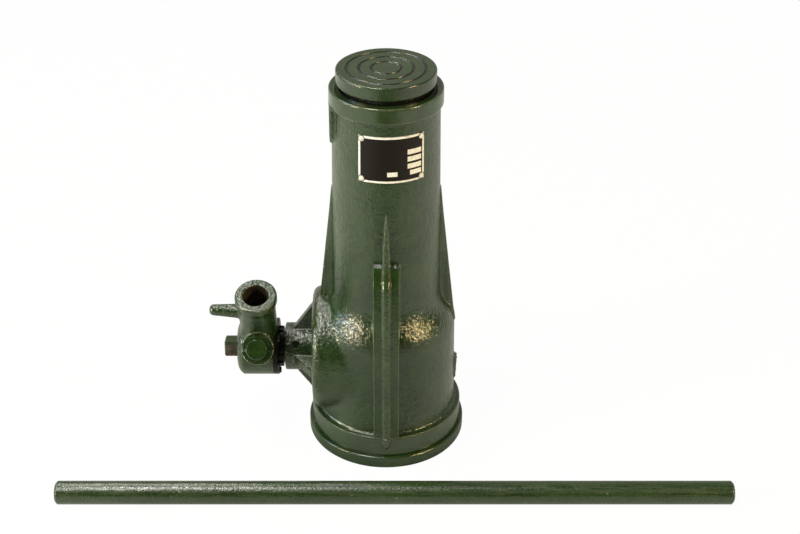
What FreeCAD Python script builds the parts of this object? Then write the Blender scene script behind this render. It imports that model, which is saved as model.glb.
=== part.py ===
import FreeCAD, Part
import math
import os
import Sketcher

# Ten tonne screw jack with a bevel gear drive, closed, with its loose handle bar.
# The origin is the centre of the underside, Z runs up the lifting screw, the drive shaft points
# to -X and the broad front strip of the housing faces -Y. All lengths are in millimetres.

doc = FreeCAD.newDocument("ScrewJack")
sheet = doc.addObject("Spreadsheet::Sheet", "sizes")

SIZES = [
    # base and outside of the cast housing
    ("baseStep", 2.4),
    ("baseThick", 9),
    ("flangeStep", 4.5),
    ("flangeHeight", 15.4),
    ("drumTaper", 0.8),
    ("drumWall", 5.4),
    ("shoulderSet", 20.5),
    ("shoulderRise", 34),
    ("neckTaper", 1.9),
    ("neckWall", 5.15),
    ("neckSpare", 21),
    ("collarStep", 1.95),
    ("collarHeight", 11),
    ("edgeRound", 1),
    ("castRound", 2.5),
    # drive side of the housing
    ("hubDrop", 2),
    ("driveRadius", 43),
    ("driveProud", 3.4),
    ("driveRound", 4),
    ("bossWall", 4.3),
    ("bossLength", 19.8),
    ("webInset", 7),
    ("webSetBack", 5.7),
    ("webThick", 6),
    # ribs, strips and cast pads
    ("ribLength", 104),
    ("ribRise", 4.5),
    ("ribLead", 8),
    ("ribProud", 1.1),
    ("ribThick", 5),
    ("stripWidth", 17.2),
    ("stripRise", 34.7),
    ("stripLedgeProud", 4.4),
    ("stripKneeDrop", 17.2),
    ("stripKneeProud", 3),
    ("stripInset", 0.1),
    ("ridgeWidth", 5.4),
    ("ridgeGap", 23.2),
    ("ridgeProud", 2),
    ("ridgeTipRise", 7),
    ("keyPadWidth", 27),
    ("keyPadProud", 1.4),
    ("keyPadDrop", 14.5),
    ("gateWidth", 7),
    ("gateRise", 16.6),
    ("gateHeight", 18),
    ("gateProud", 1.5),
    # inside of the housing
    ("gearRoom", 2.6),
    ("cavityDrop", 0.5),
    ("cavityCone", 18),
    ("wiperChamfer", 1),
    ("pinionRoom", 1.5),
    ("registerHeight", 4),
    ("registerClear", 0.1),
    ("screwInset", 5.3),
    ("baseScrewCount", 6),
    ("baseScrewTurn", 30),
    ("baseScrewSink", 0.4),
    ("baseScrewRadius", 3),
    ("baseScrewLength", 20),
    ("baseScrewHead", 5.6),
    ("holeClear", 0.05),
    # thrust ball bearing under the large gear
    ("raceThick", 6.5),
    ("raceGap", 7.4),
    ("raceRim", 8),
    ("raceStep", 2.5),
    ("raceRoom", 1),
    ("raceClear", 0.1),
    ("ballRadius", 5),
    ("ballSet", 8.5),
    ("ballCount", 14),
    ("ballClear", 0.05),
    ("cageThick", 3),
    ("cageWidth", 14),
    ("pocketClear", 0.2),
    # lifting screw with its tail bush, gear key and ring
    ("threadRadius", 18.2),
    ("threadClear", 0.05),
    ("screwTopGap", 5),
    ("screwCollarStep", 1.8),
    ("screwCollarHeight", 7),
    ("screwChamfer", 2),
    ("tailRadius", 14),
    ("tailFloor", 3),
    ("tailGap", 0.5),
    ("tailBushWall", 2.5),
    ("tailClear", 0.05),
    ("gearKeyWidth", 8),
    ("gearKeyHeight", 7),
    ("gearKeyLength", 15),
    ("gearKeySink", 4),
    ("keyClear", 0.05),
    ("ringThick", 1.4),
    ("ringWidth", 3.4),
    ("ringSink", 1),
    ("ringClear", 0.1),
    # straight bevel pair
    ("toothModule", 2.5),
    ("gearTeeth", 32),
    ("pinionTeeth", 12),
    ("toothFace", 11),
    ("toothLand", 1),
    ("pressureAngle", 20),
    ("toothShift", 0.3),
    ("toothClear", 0.25),
    ("backlash", 0.4),
    ("gearHubHeight", 19.6),
    ("gearRim", 5),
    ("gearHubStep", 5.5),
    # lifting sleeve with its nut, saddle and guide screw
    ("lift", 150),
    ("sleeveWall", 5),
    ("sleeveClear", 0.05),
    ("sleeveRoom", 3.8),
    ("sleeveFootGap", 1.75),
    ("nutStep", 3),
    ("nutLength", 38),
    ("nutClear", 0.02),
    ("nutScrewRadius", 2.5),
    ("nutScrewHeight", 9),
    ("nutScrewLength", 8),
    ("saddleGap", 3),
    ("saddleThick", 9),
    ("saddleProud", 2.5),
    ("saddleSeat", 0.05),
    ("spigotRoom", 1.85),
    ("spigotWall", 3.9),
    ("spigotLength", 9.5),
    ("spigotClear", 0.05),
    ("spigotEndGap", 0.3),
    ("snapThick", 1.6),
    ("snapDepth", 1.1),
    ("snapDrop", 6),
    ("snapSplit", 5),
    ("snapClear", 0.15),
    ("grooveInner", 9.7),
    ("groovePitch", 7.95),
    ("grooveWidth", 1.8),
    ("grooveDepth", 0.8),
    ("guideDrop", 11),
    ("guideRadius", 5),
    ("guideDogRadius", 3.9),
    ("guideDogReach", 3.6),
    ("guideSink", 0.6),
    ("keywayDepth", 4),
    ("keywayClear", 0.1),
    ("keywaySpare", 1.5),
    # pinion shaft with its bush
    ("shaftRadius", 9.5),
    ("shaftClear", 0.05),
    ("bushWall", 2.95),
    ("bushGap", 0.5),
    ("bushScrewInset", 7.7),
    ("bushScrewTilt", 37.5),
    ("bushScrewRadius", 2.5),
    ("bushScrewLength", 5),
    ("bushScrewSink", 1.2),
    ("pinionSeatRadius", 6.5),
    ("pinionHubRadius", 12),
    ("pinionHubLength", 6.5),
    ("pinionPinRadius", 1.75),
    ("pinionPinInset", 2.6),
    ("pinShort", 0.5),
    ("pressClear", 0.01),
    ("squareSide", 11),
    ("squareTilt", 10),
    ("squareReach", 9.5),
    ("squareClear", 0.05),
    ("squareChamfer", 0.8),
    # ratchet wheel and rocker head
    ("wheelGap", 1.4),
    ("wheelRadius", 15),
    ("wheelToothDepth", 2),
    ("wheelStep", 0.6),
    ("wheelTeeth", 12),
    ("wheelToothTip", 2.8),
    ("wheelToothRoot", 3.3),
    ("wheelClear", 0.05),
    ("wheelEndGap", 0.3),
    ("wheelPinRadius", 1.5),
    ("wheelPinSet", 8),
    ("headSetIn", 10),
    ("coverGap", 3.4),
    ("headLength", 26),
    ("headRim", 5),
    ("headShoulder", 4.2),
    ("headBend", 9),
    ("noseWall", 4.6),
    ("headWall", 4),
    ("noseRoom", 0.62),
    ("coverThick", 3),
    ("coverClear", 0.3),
    ("coverSeat", 0.1),
    ("coverScrewCount", 3),
    ("coverScrewRadius", 1.2),
    ("coverScrewSet", 2.6),
    ("coverScrewLength", 8),
    ("coverScrewHead", 2.2),
    ("coverScrewRise", 1.2),
    ("coverScrewTurn", 100),
    ("headTilt", 19.5),
    ("socketLength", 38),
    ("socketWall", 4.15),
    ("socketLipStep", 1.6),
    ("socketLipHeight", 5),
    ("socketLipCone", 4),
    ("socketClear", 0.75),
    ("socketDepth", 34),
    ("fingerSet", 20.6),
    ("fingerSink", 7),
    ("fingerLength", 17),
    ("fingerRootRadius", 5.3),
    ("fingerTipRadius", 3.7),
    ("fingerRise", 4),
    # plunger pawl in the rocker head
    ("pawlTilt", 40),
    ("pawlBossRadius", 11.3),
    ("pawlBossLength", 11),
    ("pawlFront", 4.2),
    ("pawlRadius", 5),
    ("pawlClear", 0.05),
    ("pawlTipGap", 0.3),
    ("pawlTipHalf", 1.2),
    ("pawlTipSlope", 0.9),
    ("pawlTipLength", 2),
    ("pawlHeadLength", 2.5),
    ("stemRadius", 3),
    ("knobRadius", 7.3),
    ("knobThick", 6.3),
    ("knobGap", 2.1),
    ("knobSocket", 4.5),
    ("knobChamfer", 0.6),
    ("knobPinRadius", 1),
    ("slotWidth", 3.4),
    ("slotDepth", 3),
    ("slotClear", 0.15),
    ("springWire", 0.8),
    ("springRadius", 4.1),
    ("springTurns", 3),
    ("springClear", 0.1),
    # name plate and its rivets
    ("plateDrop", 40.8),
    ("plateHeight", 32),
    ("plateArc", 70.6),
    ("plateTurn", 6.1),
    ("plateThick", 0.6),
    ("plateClear", 0.05),
    ("rivetInset", 2),
    ("rivetInsetArc", 3.4),
    ("rivetHead", 1.9),
    ("rivetRise", 1.2),
    ("rivetShank", 1),
    ("rivetLength", 3),
    ("rivetSeat", 0.05),
    # loose handle bar lying in front
    ("barRadius", 8),
    ("barLength", 459.8),
    ("barShift", 5.6),
    ("barGap", 27.7),
    ("barChamfer", 1.4),
]

for row, (alias, number) in enumerate(SIZES, 1):
    sheet.set("A%d" % row, alias)
    sheet.set("B%d" % row, "%g" % number)
    sheet.setAlias("B%d" % row, alias)
doc.recompute()

V = FreeCAD.Vector


class Size:
    # a length or an angle, held both as text for the sheet and as its present number

    def __init__(self, text, number):
        self.text = text
        self.number = float(number)

    def join(self, sign, other, number):
        return Size("(%s %s %s)" % (self.text, sign, other.text), number)

    def __add__(self, other):
        other = lift(other)
        return self.join("+", other, self.number + other.number)

    def __radd__(self, other):
        return lift(other) + self

    def __sub__(self, other):
        other = lift(other)
        return self.join("-", other, self.number - other.number)

    def __rsub__(self, other):
        return lift(other) - self

    def __mul__(self, other):
        other = lift(other)
        return self.join("*", other, self.number * other.number)

    def __rmul__(self, other):
        return lift(other) * self

    def __truediv__(self, other):
        other = lift(other)
        return self.join("/", other, self.number / other.number)

    def __rtruediv__(self, other):
        return lift(other) / self

    def __neg__(self):
        return Size("(0 - %s)" % self.text, -self.number)


class Named:
    # each cell of the sheet by its alias

    def __getattr__(self, alias):
        return Size("sizes." + alias, sheet.get(alias))


def lift(value):
    if isinstance(value, Size):
        return value
    return Size("%g" % value, value)


def sine(angle):
    return Size("sin(%s)" % angle.text, math.sin(math.radians(angle.number)))


def cosine(angle):
    return Size("cos(%s)" % angle.text, math.cos(math.radians(angle.number)))


def root(size):
    return Size("sqrt(%s)" % size.text, math.sqrt(size.number))


d = Named()
nodes = []


def place(item, base, axis=None, turn=0):
    # set an item at a point, turned about an axis through it
    base = [lift(value) for value in base]
    turn = lift(turn)
    spin = FreeCAD.Rotation()
    if axis:
        spin = FreeCAD.Rotation(V(*axis), turn.number)
    item.Placement = FreeCAD.Placement(V(*[size.number for size in base]), spin)
    for letter, size in zip("xyz", base):
        item.setExpression("Placement.Base." + letter, size.text)
    if axis:
        item.setExpression("Placement.Rotation.Angle", turn.text)
    return item


def body(name, keep=True):
    made = doc.addObject("PartDesign::Body", name)
    if keep:
        nodes.append(made)
    return made


def sketch(owner, role, base=(0, 0, 0), axis=None, turn=0):
    # sketch on one of the owner's origin planes, moved and turned within that plane's own frame
    made = owner.newObject("Sketcher::SketchObject", owner.Label + "Sketch")
    plane = [item for item in owner.Origin.OriginFeatures if item.Role == role][0]
    made.AttachmentSupport = [(plane, "")]
    made.MapMode = "FlatFace"
    base = [lift(value) for value in base]
    turn = lift(turn)
    spin = FreeCAD.Rotation()
    if axis:
        spin = FreeCAD.Rotation(V(*axis), turn.number)
    made.AttachmentOffset = FreeCAD.Placement(V(*[size.number for size in base]), spin)
    for letter, size in zip("xyz", base):
        made.setExpression("AttachmentOffset.Base." + letter, size.text)
    if axis:
        made.setExpression("AttachmentOffset.Rotation.Angle", turn.text)
    return made


def hold(drawing, kind, geometry, point, size):
    # tie one coordinate of a point to a size
    index = drawing.addConstraint(Sketcher.Constraint(kind, -1, 1, geometry, point, size.number))
    drawing.setExpression("Constraints[%d]" % index, size.text)


def outline(drawing, points):
    # closed run of lines through the points; a third size bends the stretch to the next point into
    # an arc of that radius, turning left along its way, or right where the size is negative
    first = drawing.GeometryCount
    points = [tuple(lift(size) for size in point) for point in points]
    count = len(points)
    stretches = []
    ends = []
    for i, point in enumerate(points):
        a = V(point[0].number, point[1].number, 0)
        b = V(points[(i + 1) % count][0].number, points[(i + 1) % count][1].number, 0)
        if len(point) == 2:
            stretches.append(Part.LineSegment(a, b))
            ends.append((1, 2))
            continue
        radius = abs(point[2].number)
        left = math.copysign(1, point[2].number)
        chord = b - a
        side = V(-chord.y, chord.x, 0).normalize() * left
        centre = (a + b) * 0.5 + side * math.sqrt(radius ** 2 - chord.Length ** 2 / 4)
        if left < 0:
            a, b = b, a
        begin = math.atan2(a.y - centre.y, a.x - centre.x)
        finish = math.atan2(b.y - centre.y, b.x - centre.x)
        stretches.append(Part.ArcOfCircle(Part.Circle(centre, V(0, 0, 1), radius), begin, finish))
        ends.append((1, 2) if left > 0 else (2, 1))
    drawing.addGeometry(stretches, False)
    joints = []
    for i in range(count):
        after = (i + 1) % count
        finish, start = ends[i][1], ends[after][0]
        joints.append(Sketcher.Constraint("Coincident", first + i, finish, first + after, start))
    drawing.addConstraint(joints)
    for i, point in enumerate(points):
        hold(drawing, "DistanceX", first + i, ends[i][0], point[0])
        hold(drawing, "DistanceY", first + i, ends[i][0], point[1])
        if len(point) == 3:
            bend = point[2] if point[2].number > 0 else -point[2]
            rule = drawing.addConstraint(Sketcher.Constraint("Radius", first + i, bend.number))
            drawing.setExpression("Constraints[%d]" % rule, bend.text)
    return drawing


def circle(drawing, x, y, radius):
    x = lift(x)
    y = lift(y)
    index = drawing.addGeometry(Part.Circle(V(x.number, y.number, 0), V(0, 0, 1), radius.number), False)
    hold(drawing, "DistanceX", index, 3, x)
    hold(drawing, "DistanceY", index, 3, y)
    rule = drawing.addConstraint(Sketcher.Constraint("Radius", index, radius.number))
    drawing.setExpression("Constraints[%d]" % rule, radius.text)
    return drawing


def feature(owner, kind, drawing=None, **sizes):
    # feature of a body, each of its sizes tied to the sheet
    made = owner.newObject("PartDesign::" + kind, owner.Label + kind)
    if drawing is not None:
        made.Profile = drawing
        drawing.Visibility = False
    for name, size in sizes.items():
        size = lift(size)
        setattr(made, name, size.number)
        made.setExpression(name, size.text)
    return made


def turned(owner, points, role="XZ_Plane", about="V_Axis", kind="Revolution", base=(0, 0, 0)):
    # full turn of an outline about one axis of its sketch
    drawing = outline(sketch(owner, role, base), points)
    made = feature(owner, kind, drawing)
    made.ReferenceAxis = (drawing, [about])
    made.Angle = 360
    return made


def pad(owner, drawing, length, back=False, both=False):
    made = feature(owner, "Pad", drawing, Length=length)
    made.Reversed = back
    if both:
        made.SideType = "Symmetric"
    return made


def pocket(owner, drawing, length, back=False, both=False):
    made = feature(owner, "Pocket", drawing, Length=length)
    made.Reversed = back
    if both:
        made.SideType = "Symmetric"
    return made


def polar(owner, sources, count, role="Z_Axis"):
    # repeat features evenly round an axis of the body
    doc.recompute()
    axis = [item for item in owner.Origin.OriginFeatures if item.Role == role][0]
    made = owner.newObject("PartDesign::PolarPattern", owner.Label + "Pattern")
    made.Originals = sources
    made.Axis = (axis, [""])
    made.Angle = 360
    made.Occurrences = int(count.number)
    made.setExpression("Occurrences", count.text)
    owner.Tip = made
    return made


def drill(owner, radius, length, base, axis=None, turn=0):
    # round hole from a point along the turned Z direction
    return place(feature(owner, "SubtractiveCylinder", Radius=radius, Height=length), base, axis, turn)


def stud(owner, radius, length, base, axis=None, turn=0):
    # round boss from a point along the turned Z direction
    return place(feature(owner, "AdditiveCylinder", Radius=radius, Height=length), base, axis, turn)


def dress(owner, kind, wanted, **sizes):
    # fillet or chamfer on the edges that a test picks
    doc.recompute()
    last = owner.Tip
    names = []
    for index, edge in enumerate(last.Shape.Edges, 1):
        if wanted(edge):
            names.append("Edge%d" % index)
    made = feature(owner, kind, **sizes)
    made.Base = (last, names)
    return made


def ring(edge, radius, along=None, at=None):
    # whether an edge is part of a circle of this radius, centred at this place along one axis
    if not isinstance(edge.Curve, Part.Circle):
        return False
    if abs(edge.Curve.Radius - radius.number) > 0.001:
        return False
    if along is None:
        return True
    return abs(getattr(edge.Curve.Center, along) - at.number) < 0.001


def group(name, items):
    # several like solids kept as one piece
    made = doc.addObject("Part::Compound", name)
    made.Links = items
    nodes.append(made)
    return made


# radii from the lifting screw outwards through nut, sleeve and neck
sleeveBore = d.threadRadius + d.sleeveRoom
nutRadius = sleeveBore + d.nutStep
sleeveRadius = nutRadius + d.sleeveWall
boreRadius = sleeveRadius + d.sleeveClear
neckTopRadius = boreRadius + d.neckWall
neckFootRadius = neckTopRadius + d.neckTaper
collarRadius = neckTopRadius + d.collarStep
saddleRadius = sleeveRadius + d.saddleProud
spigotBore = d.threadRadius + d.spigotRoom
spigotRadius = spigotBore + d.spigotWall + d.spigotClear
screwCollarRadius = d.threadRadius + d.screwCollarStep

# radii from the tail of the screw outwards through bearing, gear, drum and base
ringFloor = d.tailRadius - d.ringSink
topRaceInner = ringFloor + d.ringClear + d.ringWidth + d.raceRoom
lowRaceInner = topRaceInner + d.raceStep
ballCircle = lowRaceInner + d.ballSet
raceOuter = ballCircle + d.raceRim
gearHubRadius = ballCircle + d.gearHubStep
pitchRadius = d.toothModule * d.gearTeeth / 2
pitchDrop = d.toothModule * d.pinionTeeth / 2
pinionTip = pitchDrop + d.toothModule * (1 + d.toothShift)
cavityRadius = pitchRadius + d.gearRoom
drumTopRadius = cavityRadius + d.drumWall
drumFootRadius = drumTopRadius + d.drumTaper
flangeRadius = drumFootRadius + d.flangeStep
baseRadius = flangeRadius + d.baseStep
screwCircle = flangeRadius - d.screwInset
stripKneeRadius = drumTopRadius + d.stripKneeProud
stripFootRadius = flangeRadius - d.stripInset

# heights, built up from the base through bearing and gear to the saddle
flangeTop = d.baseThick + d.flangeHeight
ballHeight = d.baseThick + d.raceThick + d.raceGap / 2
gearSeat = d.baseThick + d.raceThick * 2 + d.raceGap
gearHubTop = gearSeat + d.gearHubHeight
shaftHeight = gearHubTop + d.hubDrop + pitchDrop
sleeveFoot = shaftHeight + pinionTip + d.sleeveFootGap
neckTop = sleeveFoot + d.lift + d.neckSpare
collarTop = neckTop + d.collarHeight
saddleFoot = collarTop + d.saddleGap
saddleTop = saddleFoot + d.saddleThick
sleeveTop = saddleFoot - d.saddleSeat
shoulderFoot = shaftHeight + d.shoulderSet
shoulderTop = shoulderFoot + d.shoulderRise
cavityTop = shoulderFoot - d.cavityDrop
ribFoot = shoulderFoot + d.ribRise
ribTop = ribFoot + d.ribLength
stripTop = shoulderTop + d.stripRise
stripKnee = stripTop - d.stripKneeDrop
guideHeight = neckTop - d.guideDrop
plateFoot = neckTop - d.plateDrop
ridgeTop = plateFoot - d.ridgeGap
ridgeTip = d.baseThick + d.ridgeTipRise
gateFoot = flangeTop + d.gateRise
gateTop = gateFoot + d.gateHeight

# places along the drive shaft, from the drum out to the end of the square
bushRadius = d.shaftRadius + d.shaftClear + d.bushWall
bossRadius = bushRadius + d.bossWall
driveFace = drumTopRadius + d.driveProud
bossEnd = driveFace + d.bossLength
webEnd = bossEnd - d.webSetBack
webReach = d.driveRadius - d.webInset
bushScrewAt = bossEnd - d.bushScrewInset
wheelInner = bossEnd + d.wheelGap
coverFace = wheelInner + d.coverGap
headInner = coverFace + d.coverThick
headCentre = headInner + d.headSetIn
headOuter = headInner + d.headLength
squareEnd = headOuter + d.squareReach
fingerRoot = headOuter - d.fingerSink
fingerTip = headOuter + d.fingerLength
wheelPinAt = headCentre + d.wheelPinSet

# radii of the rocker head, and reaches from the shaft to the ends of its socket, finger and pawl
wheelRoot = d.wheelRadius - d.wheelToothDepth
headRadius = d.wheelRadius + d.headRim
noseHole = d.squareSide * math.sqrt(0.5) + d.noseRoom
headNose = noseHole + d.noseWall
coverScrewCircle = d.wheelRadius + d.coverScrewSet
socketBore = d.barRadius + d.socketClear
socketRadius = socketBore + d.socketWall
socketLip = socketRadius + d.socketLipStep
socketReach = headRadius + d.socketLength
fingerReach = headRadius + d.fingerSet
pawlBossReach = headRadius + d.pawlBossLength
pawlTip = d.wheelRadius + d.pawlTipGap
pawlShoulder = pawlTip + d.pawlTipLength
pawlTop = pawlShoulder + d.pawlHeadLength
pawlAngle = d.headTilt + d.pawlTilt
barForward = baseRadius + d.barGap + d.barRadius

neckSlope = (neckTopRadius - neckFootRadius) / (neckTop - shoulderTop)
past = 1  # how far a cut runs past the face that it opens


def neckAt(height):
    # radius of the housing's upper cone at a height
    return neckFootRadius + neckSlope * (height - shoulderTop)


stripLedge = neckAt(stripTop) + d.stripLedgeProud


# pitch cone of the bevel pair, seen from the crossing point of the two axes
coneLength = math.hypot(pitchRadius.number, pitchDrop.number)
gearCone = math.atan2(pitchRadius.number, pitchDrop.number)
pinionCone = math.pi / 2 - gearCone
module = d.toothModule.number
shift = d.toothShift.number
pressure = math.radians(d.pressureAngle.number)
faceShare = 1 - d.toothFace.number / coneLength
landShare = d.toothLand.number / coneLength
pinionBack = pitchRadius + d.pinionHubLength


def involute(angle):
    return math.tan(angle) - angle


def toothHalf(cone, pitch, profileShift):
    # half a tooth on the plane that touches the back cone, as (across, outward) pairs from root to tip
    rolling = pitch / math.cos(cone)
    footing = rolling * math.cos(pressure)
    tip = rolling + module * (1 + profileShift)
    root = rolling - module * (1 + d.toothClear.number - profileShift)
    thick = module * (math.pi / 2 + 2 * profileShift * math.tan(pressure)) - d.backlash.number / 2
    start = max(root, footing)
    steps = 4
    pairs = []
    if root < footing:
        reach = [root]
    else:
        reach = []
    for step in range(steps + 1):
        reach.append(start + (tip - start) * step / steps)
    for radius in reach:
        bend = math.acos(min(1, footing / max(radius, footing)))
        half = thick / (2 * rolling) + involute(pressure) - involute(bend)
        pairs.append((radius * math.sin(half), radius * math.cos(half) - rolling))
    return pairs


def bevel(cone, pitch, teeth, profileShift, blank):
    # straight bevel gear with its axis on Z, its apex at the origin and its teeth below the apex
    depth = pitch / math.tan(cone)
    outward = V(math.cos(cone), 0, math.sin(cone))
    pitchPoint = V(pitch, 0, -depth)
    half = toothHalf(cone, pitch, profileShift)
    sunk = (half[0][0], half[0][1] - module / 4)
    section = [sunk] + half
    section = section + [(-across, out) for across, out in reversed(section)]
    large = [pitchPoint + outward * out + V(0, across, 0) for across, out in section]
    small = [point * faceShare for point in large]
    wires = [Part.makePolygon(loop + loop[:1]) for loop in (large, small)]
    tooth = Part.makeLoft(wires, True, True)
    copies = []
    for index in range(teeth):
        turnedTooth = tooth.copy()
        turnedTooth.rotate(V(0, 0, 0), V(0, 0, 1), 360 * index / teeth)
        copies.append(turnedTooth)
    face = Part.Face(Part.makePolygon([V(r, 0, z) for r, z in blank + blank[:1]]))
    wheel = face.revolve(V(0, 0, 0), V(0, 0, 1), 360)
    return wheel.multiFuse(copies).removeSplitter()


def coneRoots(cone, pitch, profileShift):
    # ends of the root cone, a little beyond the teeth, as (radius, height below the apex) pairs
    drop = module * (1 + d.toothClear.number - profileShift)
    radius = pitch - drop * math.cos(cone)
    height = -pitch / math.tan(cone) - drop * math.sin(cone)
    return [(radius * share, height * share) for share in (1 + landShare, faceShare - landShare)]


# housing: turned body with drum, shoulder, tapered neck and collar; the shoulder is two equal arcs
housing = body("housing")
shoulderStep = drumTopRadius - neckFootRadius
shoulderBend = (shoulderStep * shoulderStep + d.shoulderRise * d.shoulderRise) / (4 * shoulderStep)
turned(housing, [
    (0, d.baseThick),
    (flangeRadius, d.baseThick),
    (flangeRadius, flangeTop - d.edgeRound, d.edgeRound),
    (flangeRadius - d.edgeRound, flangeTop),
    (drumFootRadius + d.castRound, flangeTop, -d.castRound),
    (drumFootRadius, flangeTop + d.castRound),
    (drumTopRadius, shoulderFoot, shoulderBend),
    ((drumTopRadius + neckFootRadius) / 2, (shoulderFoot + shoulderTop) / 2, -shoulderBend),
    (neckFootRadius, shoulderTop),
    (neckTopRadius, neckTop - d.edgeRound),
    (collarRadius - d.edgeRound, neckTop, d.edgeRound),
    (collarRadius, neckTop + d.edgeRound),
    (collarRadius, collarTop - d.edgeRound, d.edgeRound),
    (collarRadius - d.edgeRound, collarTop),
    (0, collarTop),
])

# round drive pad with its bearing boss, carried by four webs
turned(housing, [
    (-boreRadius / 2, 0),
    (-boreRadius / 2, d.driveRadius),
    (d.driveRound - driveFace, d.driveRadius, d.driveRound),
    (-driveFace, d.driveRadius - d.driveRound),
    (-driveFace, 0),
], about="H_Axis", base=(0, shaftHeight, 0))
turned(housing, [
    (-boreRadius / 2, 0),
    (-boreRadius / 2, bossRadius),
    (d.edgeRound - bossEnd, bossRadius, d.edgeRound),
    (-bossEnd, bossRadius - d.edgeRound),
    (-bossEnd, 0),
], about="H_Axis", base=(0, shaftHeight, 0))
webFace = driveFace - d.driveRound / 4
for role, base in (("XZ_Plane", (0, shaftHeight, 0)), ("XY_Plane", (0, 0, shaftHeight))):
    webs = outline(sketch(housing, role, base), [
        (-webFace, webReach),
        (-driveFace, webReach),
        (-webEnd, bossRadius - d.edgeRound),
        (-webEnd, d.edgeRound - bossRadius),
        (-driveFace, -webReach),
        (-webFace, -webReach),
    ])
    pad(housing, webs, d.webThick, both=True)

# tapering ribs on both sides of the neck
ribs = sketch(housing, "XZ_Plane")
for side in (1, -1):
    outline(ribs, [
        (side * boreRadius, ribTop),
        (side * neckAt(ribTop), ribTop),
        (side * (neckAt(ribTop - d.ribLead) + d.ribProud), ribTop - d.ribLead),
        (side * drumTopRadius, ribFoot),
        (side * boreRadius, ribFoot),
    ])
pad(housing, ribs, d.ribThick, both=True)

# broad strips on the front and the back, each with a narrow ridge along its middle
strips = sketch(housing, "YZ_Plane")
ridges = sketch(housing, "YZ_Plane")
for side in (1, -1):
    outline(strips, [
        (side * boreRadius, stripTop),
        (side * stripLedge, stripTop),
        (side * stripKneeRadius, stripKnee),
        (side * stripFootRadius, d.baseThick + d.flangeHeight / 2),
        (side * boreRadius, d.baseThick + d.flangeHeight / 2),
    ])
    outline(ridges, [
        (side * boreRadius, ridgeTop),
        (side * neckAt(ridgeTop), ridgeTop),
        (side * (stripLedge + d.ridgeProud), stripTop),
        (side * (stripKneeRadius + d.ridgeProud), stripKnee),
        (side * (stripFootRadius + d.ridgeProud), flangeTop),
        (side * (flangeRadius + d.ridgeProud), flangeTop - d.ridgeProud),
        (side * (flangeRadius + d.ridgeProud), ridgeTip + d.ridgeProud),
        (side * flangeRadius, ridgeTip - d.ridgeProud),
        (side * boreRadius, ridgeTip - d.ridgeProud),
    ])
pad(housing, strips, d.stripWidth, both=True)
pad(housing, ridges, d.ridgeWidth, both=True)

# raised pad round the guide screw, and the stub where the casting was fed
keyPad = outline(sketch(housing, "YZ_Plane"), [
    (-d.keyPadWidth / 2, neckTop),
    (-d.keyPadWidth / 2, neckTop - d.keyPadDrop),
    (d.keyPadWidth / 2, neckTop - d.keyPadDrop),
    (d.keyPadWidth / 2, neckTop),
])
keyPadFace = neckTopRadius + d.keyPadProud
pad(housing, keyPad, keyPadFace, back=True)
stud(housing, d.keyPadWidth / 2, keyPadFace, (0, 0, neckTop - d.keyPadDrop), (0, 1, 0), -90)
gate = outline(sketch(housing, "XZ_Plane"), [
    (boreRadius, gateFoot),
    (drumFootRadius + d.gateProud / 2, gateFoot),
    (drumFootRadius + d.gateProud, gateTop),
    (boreRadius, gateTop),
])
pad(housing, gate, d.gateWidth, both=True)

# cavity for the gears and the bore of the sleeve
turned(housing, [
    (0, d.baseThick),
    (cavityRadius, d.baseThick),
    (cavityRadius, cavityTop),
    (boreRadius, cavityTop + d.cavityCone),
    (boreRadius, collarTop - d.wiperChamfer),
    (boreRadius + d.wiperChamfer, collarTop),
    (0, collarTop),
], kind="Groove")
axisPoint = (0, 0, shaftHeight)
drill(housing, bushRadius + d.pressClear, bossEnd + past, axisPoint, (0, 1, 0), -90)
drill(housing, pinionTip + d.pinionRoom, pitchRadius + d.toothModule, axisPoint, (0, 1, 0), -90)
drill(housing, d.guideRadius + d.holeClear, collarRadius * 2, (0, 0, guideHeight), (0, 1, 0), -90)
setTurn = 90 - d.bushScrewTilt
setSpot = (-bushScrewAt, 0, shaftHeight)
drill(housing, d.bushScrewRadius + d.holeClear, bossRadius + past, setSpot, (1, 0, 0), setTurn)
screwSpot = (screwCircle * cosine(d.baseScrewTurn), screwCircle * sine(d.baseScrewTurn), d.baseThick)
screwDepth = d.baseScrewLength - d.baseThick + past
baseHole = drill(housing, d.baseScrewRadius + d.holeClear, screwDepth, screwSpot)
polar(housing, [baseHole], d.baseScrewCount)


def rivetSpots():
    # radius, height and angle from the front of each rivet of the name plate
    spread = d.plateArc / 2 - d.rivetInsetArc
    for height in (plateFoot + d.rivetInset, plateFoot + d.plateHeight - d.rivetInset):
        for angle in (-spread, spread):
            reach = neckAt(height) + d.plateClear + d.plateThick + d.rivetSeat
            yield reach, height, angle + d.plateTurn - 90


def across(angle):
    # level axis about which a quarter turn lays Z along the radius at this angle
    return (-math.sin(math.radians(angle.number)), math.cos(math.radians(angle.number)), 0)


for reach, height, angle in rivetSpots():
    foot = reach - d.rivetLength - d.holeClear
    spot = (foot * cosine(angle), foot * sine(angle), height)
    drill(housing, d.rivetShank + d.holeClear, d.rivetLength * 2, spot, across(angle), 90)

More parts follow.
